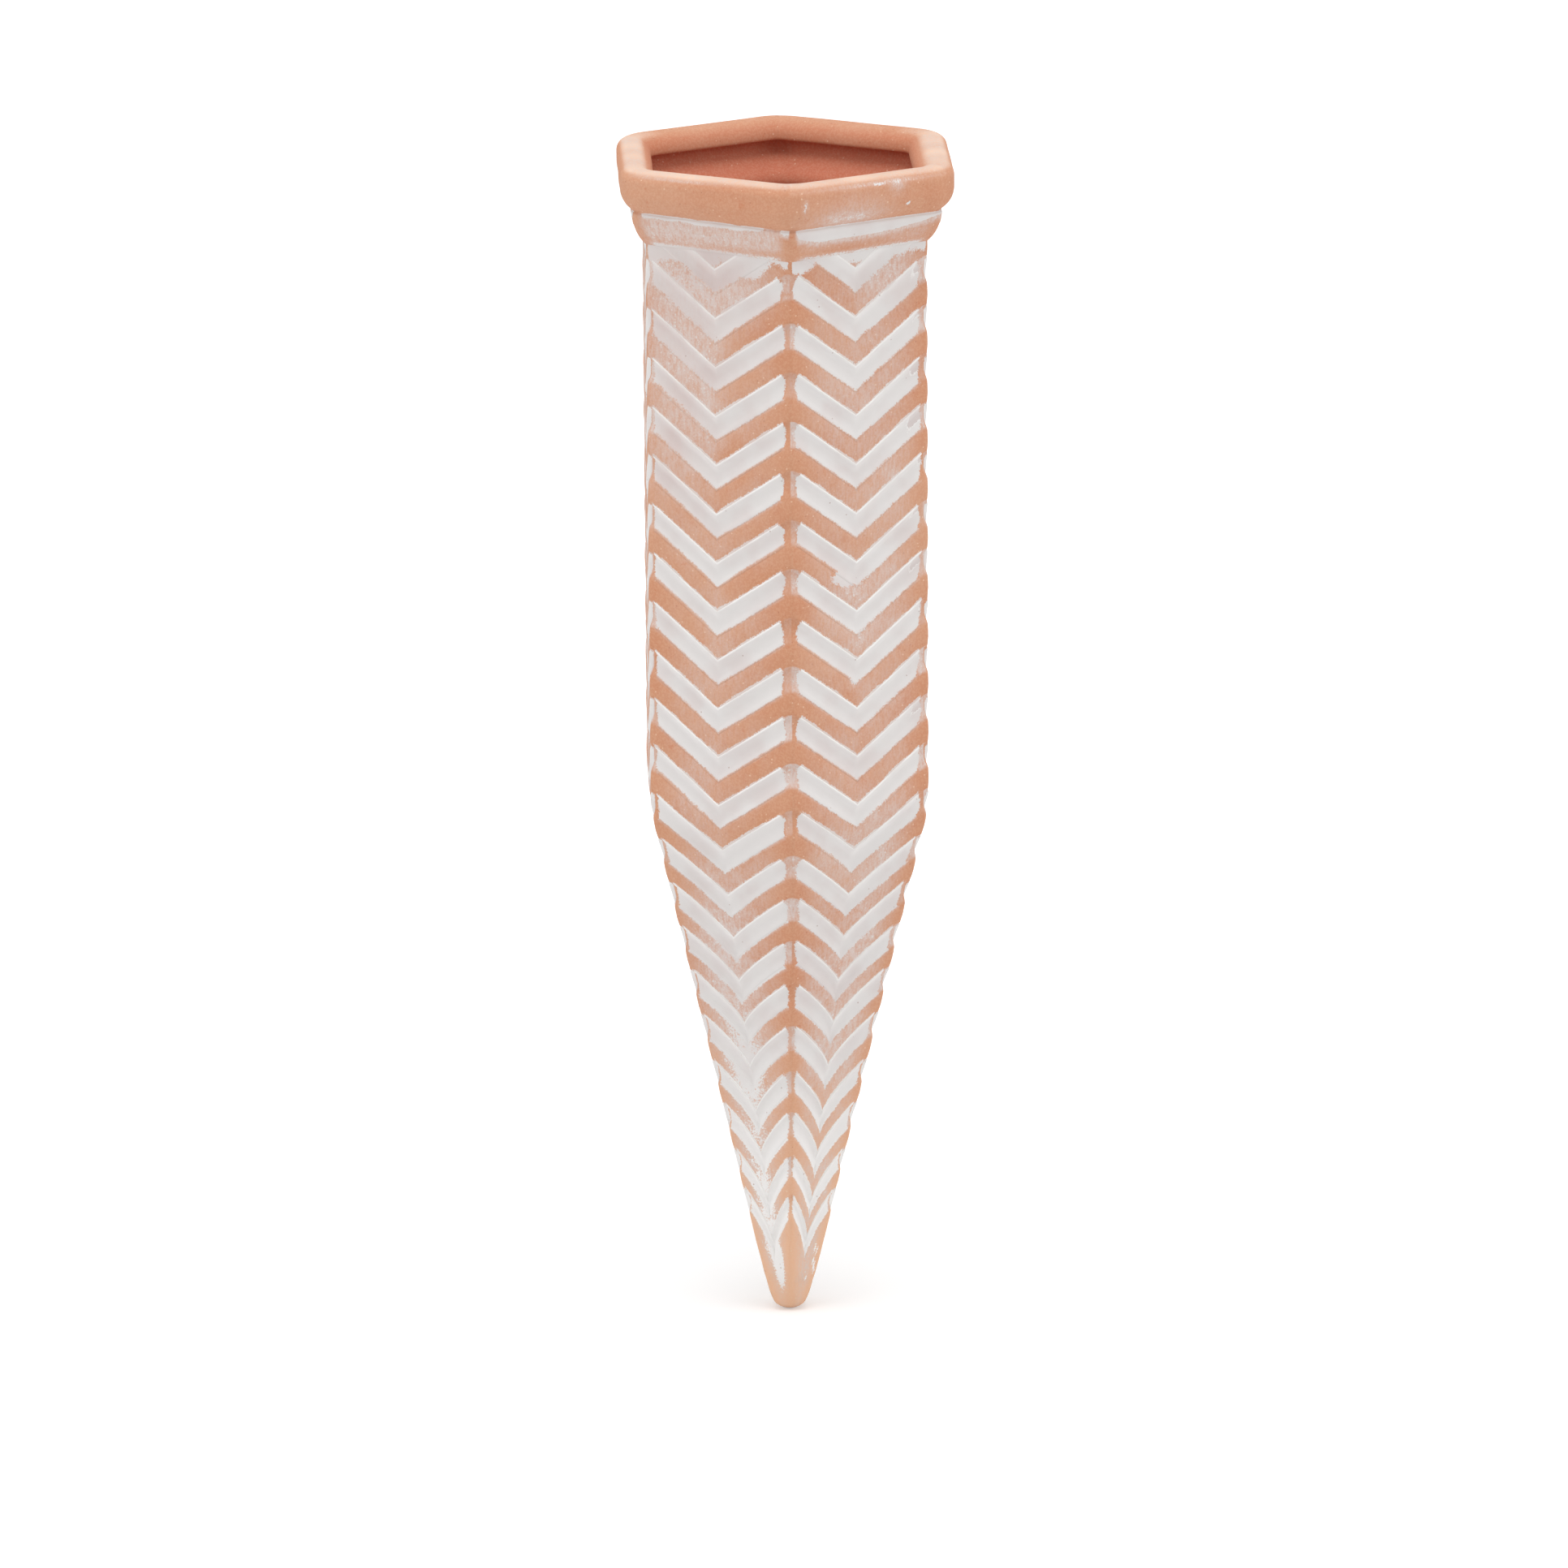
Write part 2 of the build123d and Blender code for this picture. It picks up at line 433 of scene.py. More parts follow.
@dataclass
class Shaft:
    """Barrel, taper and tip with their chevron relief, the hollow, and the wash.

    Tuples named ..._phases hold shares of a row's way down, and those named
    ..._shares shares of the way from the chevron's point to the corner.
    """

    form: Form
    wear: Wear
    apex_heights: Floats = (
        180.8, 173.35, 165.9, 158.45, 151.0, 143.6, 136.15, 128.7, 121.25, 113.8, 106.35, 98.9, 91.45,
        84.0, 76.8, 69.5, 62.5, 55.4, 48.4, 41.3, 33.7, 26.8, 19.2, 12.7, 5.8,
    )
    first_row: int = -1
    bands: int = 22
    phases: Floats = (0.0, 0.03, 0.065, 0.11, 0.2, 0.35, 0.43, 0.5, 0.57, 0.68, 0.82, 0.95)
    start_row: float = 0.5
    last_row: float = 22.83
    fade_rows: Pair = (22.45, 22.8)
    even_columns: int = 20
    corner_columns: Floats = (0.0, 0.15, 0.3, 0.46, 0.75, 1.1, 1.5, 2.0)
    rise: float = 8.4
    low_rise: float = 0.04
    low_rise_rows: Pair = (14.0, 19.0)
    low_bend: float = 0.2
    low_bend_rows: Pair = (13.0, 18.0)
    corner_ease: float = 0.13
    apex_shift: float = 0.6
    groove_depth: float = 0.55
    corner_depth: float = 0.62
    corner_depth_shares: Pair = (0.8, 1.0)
    step_lead: float = 0.02
    step_run: float = 0.21
    corner_step_run: float = 0.09
    corner_step_shares: Pair = (0.86, 0.98)
    ramp_phases: Pair = (0.33, 0.62)
    land_depth: float = 0.12
    land_phases: Pair = (0.55, 1.0)
    land_start_phases: Pair = (0.5, 0.6)
    uneven: tuple[tuple[float, float, int], ...] = ((0.03, 9.0, 4), (0.012, 2.6, 5))
    even_shares: Pair = (0.9, 1.0)
    tip_fade: Pair = (0.5, 6.0)
    collar_fade: Pair = (163.5, 168.0)
    pitch: float = 7.44
    collar_underside: float = 168.7
    squeeze: float = 0.1
    tip_rings: int = 16
    edge_inset: float = 0.85
    hollow_apothem: float = 17.65
    hollow_corner: float = 3.0
    hollow_corner_share: float = 0.7
    hollow_heights: Floats = (170.5, 170.48, 165.0, 150.0, 130.0, 110.0, 95.0, 86.0, 82.0)
    hollow_low: Floats = (78.0, 66.0, 54.0, 42.0, 30.0, 22.0, 18.2, 17.2)
    hollow_floor: float = 17.0
    hollow_floor_apothem: float = 3.12
    hollow_floor_round: float = 0.7
    hollow_shoulder: float = 81.95
    film_lift: float = 0.07
    film_dip: float = 0.02
    film_sink: float = 0.12
    film_phases: Pair = (-0.04, 0.6)
    film_ends: Pair = (-0.15, 0.25)
    end_gap_heights: Floats = (0.0, 35.0, 62.0, 80.0, 180.0)
    end_gaps: Floats = (0.15, 0.34, 0.62, 0.88, 0.78)
    end_ragged: tuple[tuple[float, float, int], ...] = ((0.16, 3.4, 11), (0.07, 1.1, 12))
    end_scales: tuple[Pair, ...] = (
        (0.9, 1.0), (1.1, 0.8), (0.9, 1.2), (1.0, 0.5), (0.45, 1.35), (0.95, 0.9),
    )
    end_curls: tuple[Pair, ...] = (
        (1.0, 0.9), (0.9, 1.1), (1.0, 0.8), (0.9, 1.0), (1.5, 0.55), (0.6, 1.5),
    )
    upper_curl: float = 0.55
    band_middle: float = 0.25
    band_tail_phases: Pair = (0.5, 0.62)
    dust: tuple[Pair, ...] = (
        (0.3, 0.24), (0.4, 0.18), (0.26, 0.38), (0.36, 0.3), (0.2, 0.1), (0.32, 0.36),
    )
    dust_patches: tuple[tuple[float, float, int], ...] = ((0.1, 26.0, 13), (0.07, 6.0, 14))
    # Haze is stronger low on the taper: partly rubbed wash, partly painted light that lightens the lower shaft.
    haze_and_painted_lift_heights: Floats = (0.0, 30.0, 62.0, 90.0, 180.0)
    haze_and_painted_lift_factors: Floats = (1.3, 1.5, 1.4, 1.0, 1.0)
    dust_corner: Pair = (0.5, 7.0)
    dust_least: float = 0.04
    bare_gaps: Pair = (1.9, 1.1)
    bare_haze: Pair = (0.5, 0.62)
    groove_phases: tuple[float, float, float, float] = (0.0, 0.04, 0.48, 0.56)
    collar_wash: Pair = (165.2, 168.2)
    collar_wash_gaps: Pair = (0.05, 0.55)
    flaked_sides: tuple[Side, ...] = (Side.TWO, Side.THREE, Side.SIX)
    flaked_from: float = 86.0
    flake_from_share: float = 0.8
    no_flake: float = -3.0
    # Painted light: clay and wash are lightened towards the tip, which gets less light.
    painted_lift_heights: Pair = (60.0, 2.0)
    painted_lift_most: float = 0.65
    low_spread: Floats = (0.05, 0.04, 0.06, 0.05, 0.09, 0.05)
    low_spread_heights: Pair = (90.0, 55.0)

    def columns(self) -> tuple[Array, Array, Array]:
        """Columns round the whole body, closer together near the corners.

        Returns:
            Direction of each column's side in degrees, its hand, -1 or 1, and
            its share of the way from the chevron's point to the corner.
        """
        half = self.form.body_apothem * HALF_SIDE
        near = 1.0 - np.array(self.corner_columns)[::-1] / half
        even = np.linspace(0.0, near[0], self.even_columns + 1)[:-1]
        share = np.concatenate([even, near])
        left = share[::-1][:-1]
        shares = np.concatenate([left, share[:-1]])
        hands = np.concatenate([-np.ones(len(left)), np.ones(len(share) - 1)])
        return np.repeat(SIDE_ANGLES, len(shares)), np.tile(hands, SIDES), np.tile(shares, SIDES)

    def surface_height(self, row: Array, share: Array) -> Array:
        """Height of the surface at a row number and a share of the way to the corner.

        The chevron's points are linear between the rows. An arm rises from its
        point as rise * share^bend, and over the last part before the corner a
        parabola takes it down, so that the arms of two sides meet in a curve.

        Args:
            row: Row numbers.
            share: Share of the way to the corner.

        Returns:
            Heights in millimetres.
        """
        numbers = np.arange(len(self.apex_heights)) + self.first_row
        apex = np.interp(row, numbers, self.apex_heights)
        bend = 1.0 - self.low_bend * smoothstep(*self.low_bend_rows, row)
        past = np.clip(share - (1.0 - self.corner_ease), 0.0, None)
        curve = share ** bend - past * past / (2.0 * self.corner_ease)
        return apex + self.rise * (1.0 - self.low_rise * smoothstep(*self.low_rise_rows, row)) * curve

    def relief(self, grid: Grid, share: Array) -> Array:
        """Depth of the surface under the body's faces.

        Down one pitch: a steep step in, a flat floor, a soft ramp out, and a
        land that stands a little proud in its middle.

        Args:
            grid: Grid of the outside.
            share: Share of the way to the corner.

        Returns:
            Depths in millimetres.
        """
        phase = grid.phase
        corner = smoothstep(*self.corner_depth_shares, share)
        deep = blend(self.groove_depth, self.corner_depth, corner)
        run = blend(self.step_run, self.corner_step_run, smoothstep(*self.corner_step_shares, share))
        step = smoothstep(-self.step_lead, run - self.step_lead, phase)
        ramp = 1.0 - smoothstep(*self.ramp_phases, phase)
        start, end = self.land_phases
        swell = np.sin(math.pi * np.clip((phase - start) / (end - start), 0.0, 1.0))
        land = self.land_depth * (1.0 - swell) * smoothstep(*self.land_start_phases, phase)
        land = land + self.land_depth * (phase < self.step_lead)
        fade = 1.0 - smoothstep(*self.fade_rows, grid.row)
        uneven = sum(size * grid.ripple(length, seed) for size, length, seed in self.uneven)
        uneven = uneven * (1.0 - smoothstep(*self.even_shares, share))
        depth = np.maximum(deep * step * ramp, land) * fade + uneven
        return depth * smoothstep(*self.tip_fade, grid.z) * (1.0 - 0.5 * smoothstep(*self.collar_fade, grid.z))

    def outside(self) -> Grid:
        """Outside of the shaft, with its relief.

        Returns:
            Grid with rows from the tip up.
        """
        angle, hand, share = self.columns()
        numbers = np.arange(math.floor(self.start_row), math.ceil(self.last_row))
        rows = (numbers[:, None] + np.array(self.phases)[None, :]).ravel()
        rows = rows[(rows >= self.start_row) & (rows <= self.last_row)][::-1, None]
        z = self.surface_height(rows, share)
        low = z[0] * np.linspace(0.0, 1.0, self.tip_rings + 1)[1:-1, None] ** 2
        z = np.concatenate([low, z])
        over = z - self.collar_underside
        z = np.where(over > 0.0, self.collar_underside + over * self.squeeze, z)
        rows = np.concatenate([np.repeat(rows[:1], len(low), 0), rows])
        row, angles = np.broadcast_arrays(rows, angle)
        a = self.form.apothem(z)
        half = np.maximum(a * HALF_SIDE, 1e-6)
        shift = -self.apex_shift * half / (self.form.body_apothem * HALF_SIDE)
        u = shift + share * (hand * half - shift)
        grid = Grid(np.zeros((*z.shape, 3)), angles, u, z, half, row)
        corner = np.minimum(self.form.corner_round, self.form.corner_share * a)
        grid.points = self.form.place(angles, u / half, a - self.relief(grid, share), z, corner)
        return grid

    def band_ends(self, grid: Grid) -> Array:
        """How far inside its ragged and rounded end a band of wash lies.

        Args:
            grid: Grid of the outside.

        Returns:
            Distances in millimetres, negative past the end.
        """
        key = grid.angle * 0.37 + np.sign(grid.u) * 11.0
        width = np.interp(grid.z, self.end_gap_heights, self.end_gaps)
        width = width * np.array(self.end_scales)[grid.side, grid.hand]
        ragged = sum(size * ripple(grid.z, key, length, seed) for size, length, seed in self.end_ragged)
        ragged = ragged + grid.by_row(0.32, 15)
        phase = np.where(grid.phase > 0.85, grid.phase - 1.0, grid.phase) - self.band_middle
        curl = np.array(self.end_curls)[grid.side, grid.hand]
        curl = np.where(phase > 0.0, curl, self.upper_curl)
        lean = phase * (1.0 + grid.by_row(1.2, 16))
        lean = lean - curl * np.clip(phase ** 2 / self.band_middle ** 2, 0.0, 1.5)
        lean = lean * (1.0 - smoothstep(*self.band_tail_phases, phase + self.band_middle))
        return grid.gap - (1.0 + ragged) * width + lean * np.minimum(width, 0.8)

    def haze_and_painted_lift(self, grid: Grid) -> Array:
        """Haze of rubbed wash over the clay and on the bare ends of the grooves,
        stronger low on the taper, partly as painted light.

        Args:
            grid: Grid of the outside.

        Returns:
            Values from 0 to 1.
        """
        left, right = np.array(self.dust).T
        haze_amount = blend(left[grid.side], right[grid.side], smoothstep(-3.0, 3.0, grid.u))
        for size, length, seed in self.dust_patches:
            haze_amount = haze_amount + size * grid.ripple(length, seed)
        # Stronger haze low on the taper: partly rubbed wash, partly painted light that lightens the lower shaft.
        haze_amount = haze_amount * np.interp(grid.z, self.haze_and_painted_lift_heights, self.haze_and_painted_lift_factors)
        inner = smoothstep(*self.dust_corner, grid.gap * 12.0 / np.maximum(grid.half, 4.0))
        haze_amount = haze_amount * blend(self.dust_least, 1.0, inner)
        start, full, going, gone = self.groove_phases
        groove = smoothstep(start, full, grid.phase) * (1.0 - smoothstep(going, gone, grid.phase))
        mean, spread = self.bare_haze
        bare = smoothstep(*self.bare_gaps, grid.gap) * groove * (mean + grid.by_row(spread, 17))
        return np.clip(np.maximum(haze_amount, bare), 0.0, 1.0)

    def flaking(self, grid: Grid) -> Array:
        """How far inside a flaked patch of the wash a point lies.

        Args:
            grid: Grid of the outside.

        Returns:
            Distances in millimetres, no_flake where nothing flakes.
        """
        across = (self.band_middle + grid.by_row(0.08, 19) - grid.phase) * self.pitch
        across = across + 0.25 * ripple(grid.u, grid.z, 2.2, 24)
        share = self.columns()[2] - self.flake_from_share
        along = (share + grid.by_row(0.17, 20)) * 12.0 + 0.3 * ripple(grid.u, grid.z, 1.8, 25)
        sides = np.isin(grid.angle, [side.value for side in self.flaked_sides])
        flaked = sides & (grid.u > 0.0) & (grid.z > self.flaked_from)
        return np.where(flaked, np.minimum(across, along), self.no_flake)

    def values(self, grid: Grid) -> Values:
        """Surface values that the finishes read, by name.

        paint, haze and thin come from the wear, and more wash lies close under
        the collar. spread is what a band is wider by, as a share of the pitch,
        ruddy how red the clay is, and the lightening value is painted light
        that lightens clay and wash towards the tip.

        Args:
            grid: Grid of the outside.

        Returns:
            The values by name.
        """
        found = self.wear.values(grid)
        found["row"] = grid.row
        found["band_end"] = self.band_ends(grid)
        found["haze"] = blend(found["haze"], 1.0, self.haze_and_painted_lift(grid))
        collar = smoothstep(*self.collar_wash, grid.z + 0.9 * grid.ripple(7.0, 18))
        collar = collar * smoothstep(*self.collar_wash_gaps, grid.gap)
        found["paint"] = np.clip(found["paint"] + collar, 0.0, 1.0)
        found["flake"] = self.flaking(grid)
        found["ruddy"] = np.zeros_like(grid.z)
        # Painted light that lightens the lower shaft towards the tip.
        found["painted_lift_and_lighter_top"] = self.painted_lift_most * smoothstep(*self.painted_lift_heights, grid.z)
        own = grid.by_row(0.035, 26) * smoothstep(0.5, 3.5, np.abs(grid.u))
        low = np.array(self.low_spread)[grid.side] * smoothstep(*self.low_spread_heights, grid.z)
        found["spread"] = own + low
        return found

    def hollow(self) -> Array:
        """Hollow of the shaft, at an even wall inside the taper.

        Returns:
            Rings of points from the top down.
        """
        angle, hand, share = self.columns()
        slope = (self.hollow_apothem - self.hollow_floor_apothem) / (self.hollow_shoulder - self.hollow_floor)
        rings = [(self.hollow_apothem, z) for z in self.hollow_heights]
        rings += [(self.hollow_floor_apothem + slope * (z - self.hollow_floor), z) for z in self.hollow_low]
        rings[-1] = (rings[-1][0] * self.hollow_floor_round, rings[-1][1])
        a, z = (np.repeat(column[:, None], len(share), 1) for column in np.array(rings).T)
        corner = np.minimum(self.hollow_corner, self.hollow_corner_share * a)
        return self.form.place(angle, hand * share, a, z, corner)

    def build_clay(self, grid: Grid, values: Values, material: Material) -> None:
        """Closed shell of the shaft: outside, top edge and hollow.

        Args:
            grid: Grid of the outside.
            values: Surface values of the outside.
            material: Material of the clay.
        """
        outer, inner = grid.points, self.hollow()
        columns = outer.shape[1]
        edge = inner[:1].copy()
        edge[..., :2] *= (self.form.body_apothem - self.edge_inset) / self.hollow_apothem
        skin = np.concatenate([outer, edge, inner])
        rows = len(skin)
        count = rows * columns
        skin = np.concatenate([skin.reshape(-1, 3), [[0.0, 0.0, 0.0], [0.0, 0.0, self.hollow_floor]]])
        ring = np.arange(columns)
        after = (ring + 1) % columns
        last = count - columns
        tip_fan = np.stack([np.full(columns, count), after, ring], -1)
        floor_fan = np.stack([last + ring, last + after, np.full(columns, count + 1)], -1)
        within = {"row": 0.75, "band_end": 5.0, "flake": self.no_flake, "ruddy": 1.0}
        extra = len(skin) - outer.shape[0] * columns
        whole = {key: np.concatenate([value.ravel(), np.full(extra, within.get(key, 0.0))])
                 for key, value in values.items()}
        faces = [ring_faces(rows, columns), tip_fan, floor_fan]
        piece = make_piece("clay_shaft", skin, faces, whole, material)
        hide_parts("clay_body")

    def build_wash(self, grid: Grid, values: Values, number: int, side: Side, material: Material) -> None:
        """Film of wash in the grooves of one side, one closed band for each row.

        A band follows the clay's own grid. Its face stands film_lift over the
        clay, its back lies film_sink under it, and its border dips into the clay.

        Args:
            grid: Grid of the outside.
            values: Surface values of the outside.
            number: Number of the side, from 1.
            side: Side that it lies on.
            material: Material of the wash.
        """
        points, row = grid.points, grid.row[:, 0]
        width = points.shape[1] // SIDES
        picks = ((number - 1) * width + np.arange(width + 1)) % points.shape[1]
        normal = surface_normals(points)
        blocks, quads, kept = [], [], {key: [] for key in values}
        offset = 0
        start, end = self.film_phases
        above_tip = np.arange(len(row)) >= self.tip_rings - 1
        for band in range(1, self.bands + 1):
            inside = np.flatnonzero((row > band + start) & (row < band + end) & above_tip)
            cells = np.ix_(inside, picks)
            reach = np.zeros((len(inside), len(picks)))
            reach[1:-1, 1:-1] = 1.0
            ends = smoothstep(*self.film_ends, values["band_end"][cells])
            lift = (self.film_lift + self.film_dip) * reach * ends - self.film_dip
            face = points[cells] + normal[cells] * lift[..., None]
            back = points[cells] - normal[cells] * self.film_sink
            quads += [faces + offset for faces in film_faces(*reach.shape)]
            blocks += [face.reshape(-1, 3), back.reshape(-1, 3)]
            for key, value in values.items():
                kept[key] += [value[cells].ravel()] * 2
            offset += 2 * reach.size
        joined = {key: np.concatenate(value) for key, value in kept.items()}
        piece = make_piece(f"lime_wash_{side.value}", np.concatenate(blocks), quads, joined,
                           material)
        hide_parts(f"wash_side_{number}")

    def build(self, clay: Material, wash: Material) -> None:
        """Build the clay and the wash of all six sides.

        Args:
            clay: Material of the clay.
            wash: Material of the wash.
        """
        grid = self.outside()
        values = self.values(grid)
        self.build_clay(grid, values, clay)
        for number, side in enumerate(Side, 1):
            self.build_wash(grid, values, number, side, wash)


@dataclass(frozen=True)
class NeckWash:
    """Wash left in the crease under the rim, on one side.

    At each of the places across the side it reaches down by its depth, in
    millimetres, and covers by its strength. Under it the wash thins out over
    the soft distance, and a haze goes on below.
    """

    side: Side
    places: Floats
    depths: Floats
    strengths: Floats
    soft: float
    haze: float


@dataclass
class Crown:
    """Collar, rim, mouth and the chamber under the lip.

    foot and chamber hold rings of the section as half width, height and corner
    radius. The sag tables lower the outside at the right end of each side,
    where the shares say how much of them acts at each of the sag heights.
    """

    wear: Wear
    neck_wash: tuple[NeckWash, ...]
    total: float = 180.0
    rim_apothem: float = 24.76
    rim_corner: float = 7.0
    rim_corner_loss: float = 2.0
    rim_bottom: float = 172.95
    rim_lower_round: float = 3.6
    rim_upper_round: float = 1.8
    rim_face_top: float = 177.6
    rim_flat: Pair = (22.6, 4.8)
    foot: tuple[Triple, ...] = (
        (19.5, 170.5, 0.8), (19.5, 169.2, 0.8), (19.5, 168.5, 0.8), (19.9, 168.5, 1.0),
    )
    collar_apothem: float = 22.9
    collar_corner: float = 1.9
    collar_corner_least: float = 0.8
    collar_corner_loss: float = 0.5
    collar_bottom: float = 168.5
    collar_round: Triple = (4.6, 5.72, 55.0)
    crease_apothem: float = 22.86
    crease_height: float = 173.25
    crease_corner: float = 2.2
    crease_lap: float = 0.04
    sag_heights: Floats = (166.0, 168.5, 173.25, 176.0, 178.5)
    foot_shares: Floats = (0.0, 1.0, 0.0, 0.0, 0.0)
    foot_sag: Floats = (0.0, 0.45, 0.0, 0.0, 0.45, 0.0)
    crease_shares: Floats = (0.0, 0.0, 1.0, 0.5, 0.0)
    crease_sag: Floats = (0.05, 0.2, 0.0, -0.4, 0.2, 0.05)
    mouth_apothem: float = 19.45
    mouth_corner: float = 2.2
    mouth_round: Pair = (2.9, 0.8)
    lip_bottom: float = 177.0
    lip_draft: float = 0.1
    chamber: tuple[Triple, ...] = (
        (20.4, 177.1, 2.4), (21.3, 177.0, 2.4), (21.6, 176.7, 2.4), (21.5, 176.0, 2.4),
    )
    throat_top: Triple = (21.6, 176.0, 2.4)
    throat_bottom: Triple = (17.65, 171.5, 3.0)
    throat_shares: Floats = (0.2, 0.4, 0.6, 0.8)
    join: float = 170.5
    join_heights: Floats = (170.8, 170.52, 170.5)
    rim_shift: float = 0.15
    mouth_shift: float = 0.3
    shift_heights: Pair = (173.0, 175.0)
    columns_flat: int = 28
    columns_arc: int = 9
    paint_soft: float = 0.25
    neck_tail: Pair = (2.2, 4.6)
    neck_tail_gaps: Pair = (0.6, 3.0)
    foot_wash: Pair = (0.15, 1.1)
    foot_wash_gaps: Pair = (0.3, 2.5)
    foot_paint: Pair = (0.55, 0.5)
    # The rim's top is made lighter and hazier, strongly at the front and sides and faintly at the back, by
    # direction round the axis.
    lighter_top_turns: Floats = (0.0, 24.0, 40.0, 140.0, 156.0, 180.0, 240.0, 300.0)
    lighter_top: Floats = (0.6, 0.6, 0.04, 0.04, 0.65, 0.65, 0.6, 0.55)
    lighter_top_drops: Pair = (0.7, 0.05)
    film_within: float = 21.0
    film_heights: Pair = (170.9, 173.24)
    film_lift: Pair = (0.05, 0.05)
    film_lift_heights: Pair = (172.2, 172.8)
    film_borders: Pair = (-0.03, -0.01)
    film_sink: float = 0.12

    def arc(self, a: float, z: float, radius: float, end: Pair, steps: int) -> list[Pair]:
        """Points of a round in the section.

        Each point is the middle plus radius times (cos, sin) of its angle.

        Args:
            a: Middle of the round, outward.
            z: Middle of the round, upward.
            radius: Radius of the round.
            end: First and last angle, in degrees.
            steps: Number of steps.

        Returns:
            Points as outward and upward distances.
        """
        angles = np.radians(np.linspace(*end, steps + 1))
        return [(a + radius * math.cos(t), z + radius * math.sin(t)) for t in angles]

    def section(self) -> Array:
        """Section from the hidden foot of the collar, over rim and mouth, to the hollow.

        Returns:
            Half width, height and corner radius of each ring.
        """
        rows = list(self.foot)
        wide, tall, end = self.collar_round
        for turn in np.radians(np.linspace(end, 0.0, 22)):
            inward = wide * (1.0 - math.cos(turn))
            z = self.collar_bottom + tall * (math.sin(math.radians(end)) - math.sin(turn))
            corner = max(self.collar_corner - inward * self.collar_corner_loss, self.collar_corner_least)
            rows += [(self.collar_apothem - inward, z, corner)]
        rows += [(self.crease_apothem, self.crease_height, self.crease_corner)]

        lower, upper = self.rim_lower_round, self.rim_upper_round
        middle = self.rim_apothem - lower
        start = -math.degrees(math.acos((self.crease_apothem + self.crease_lap - middle) / lower))
        round_in = self.arc(middle, self.rim_bottom + lower, lower, (start, 0.0), 16)
        loss = self.rim_corner_loss
        rows += [(a, z, self.rim_corner - (self.rim_apothem - a) * loss) for a, z in round_in]
        rows += [(self.rim_apothem, self.rim_face_top, self.rim_corner)]
        round_over = self.arc(self.rim_apothem - upper, self.total - upper, upper, (0.0, 90.0), 10)
        rows += [(a, z, self.rim_corner - (self.rim_apothem - a)) for a, z in round_over]
        rows += [(self.rim_flat[0], self.total, self.rim_flat[1])]

        lip = self.lip_bottom + self.lip_draft
        for turn in np.radians(np.linspace(90.0, 0.0, 15)[1:]):
            outward = self.mouth_round[0] * (1.0 - math.cos(turn))
            z = lip + (self.total - lip) * math.sin(turn)
            rows += [(self.mouth_apothem + outward, z, self.mouth_corner + outward * self.mouth_round[1])]
        rows += [(self.mouth_apothem + self.lip_draft, self.lip_bottom, self.mouth_corner)]
        rows += self.chamber
        top, bottom = np.array(self.throat_top), np.array(self.throat_bottom)
        rows += [tuple(blend(top, bottom, share)) for share in self.throat_shares]
        rows += [(bottom[0], z, bottom[2]) for z in (bottom[1], *self.join_heights)]
        return np.array(rows)

    def columns(self) -> tuple[Array, Array, Array]:
        """Columns round the crown.

        Returns:
            Direction of each column's side in degrees, its share along the
            flat, -1 to 1, and its share round the corner, -1 to 1.
        """
        flat = np.linspace(-1.0, 1.0, self.columns_flat * 2 + 1)
        arc = np.linspace(0.0, 1.0, self.columns_arc + 1)[1:]
        along = np.concatenate([-np.ones(len(arc)), flat, np.ones(len(arc) - 1)])
        bend = np.concatenate([-arc[::-1], np.zeros(len(flat)), arc[:-1]])
        return np.repeat(SIDE_ANGLES, len(along)), np.tile(along, SIDES), np.tile(bend, SIDES)

    def grid(self) -> Grid:
        """Surface of the crown, with its sags and shifts.

        Returns:
            Grid with rows in the order of the section.
        """
        angle, along, bend = self.columns()
        rows = self.section()
        a, z, corner = (column[:, None] for column in rows.T)
        out = a - corner + corner * np.cos(bend * TURN)
        u = along * ((a - corner) * HALF_SIDE) + corner * np.sin(bend * TURN)
        a, z, angle, half, out = np.broadcast_arrays(a, z, angle, a * HALF_SIDE, out)
        x, y = turned(out, u, angle)
        uneven = 0.05 * ripple(angle * 0.3 + u, z, 14.0, 21) * smoothstep(self.join, self.join + 1.0, z)
        scale = 1.0 + uneven / np.maximum(np.hypot(x, y), 1.0)

        grid = Grid(np.zeros((*z.shape, 3)), angle, u, z, half, np.full_like(z, 0.75))
        across = np.clip(u / half * 0.5 + 0.5, 0.0, 1.0)
        sag = np.zeros_like(z)
        for corners, shares in ((self.foot_sag, self.foot_shares), (self.crease_sag, self.crease_shares)):
            level = np.array(corners)
            at_place = blend(level[grid.side - 1], level[grid.side], across)
            sag = sag + at_place * np.interp(z, self.sag_heights, shares)
        sag = sag * self.outer(grid)
        within = smoothstep(22.4, 19.6, a)
        nudge = blend(self.rim_shift, -self.mouth_shift * smoothstep(4.0, 16.0, x), within)
        nudge = nudge * smoothstep(*self.shift_heights, z)
        grid.points = np.stack([x * scale + nudge, y * scale, z - sag], -1)
        return grid

    def outer(self, grid: Grid) -> Array:
        """Whether each ring comes before the top of the rim in the section."""
        return np.arange(len(grid.z))[:, None] <= np.argmax(grid.z[:, 0])

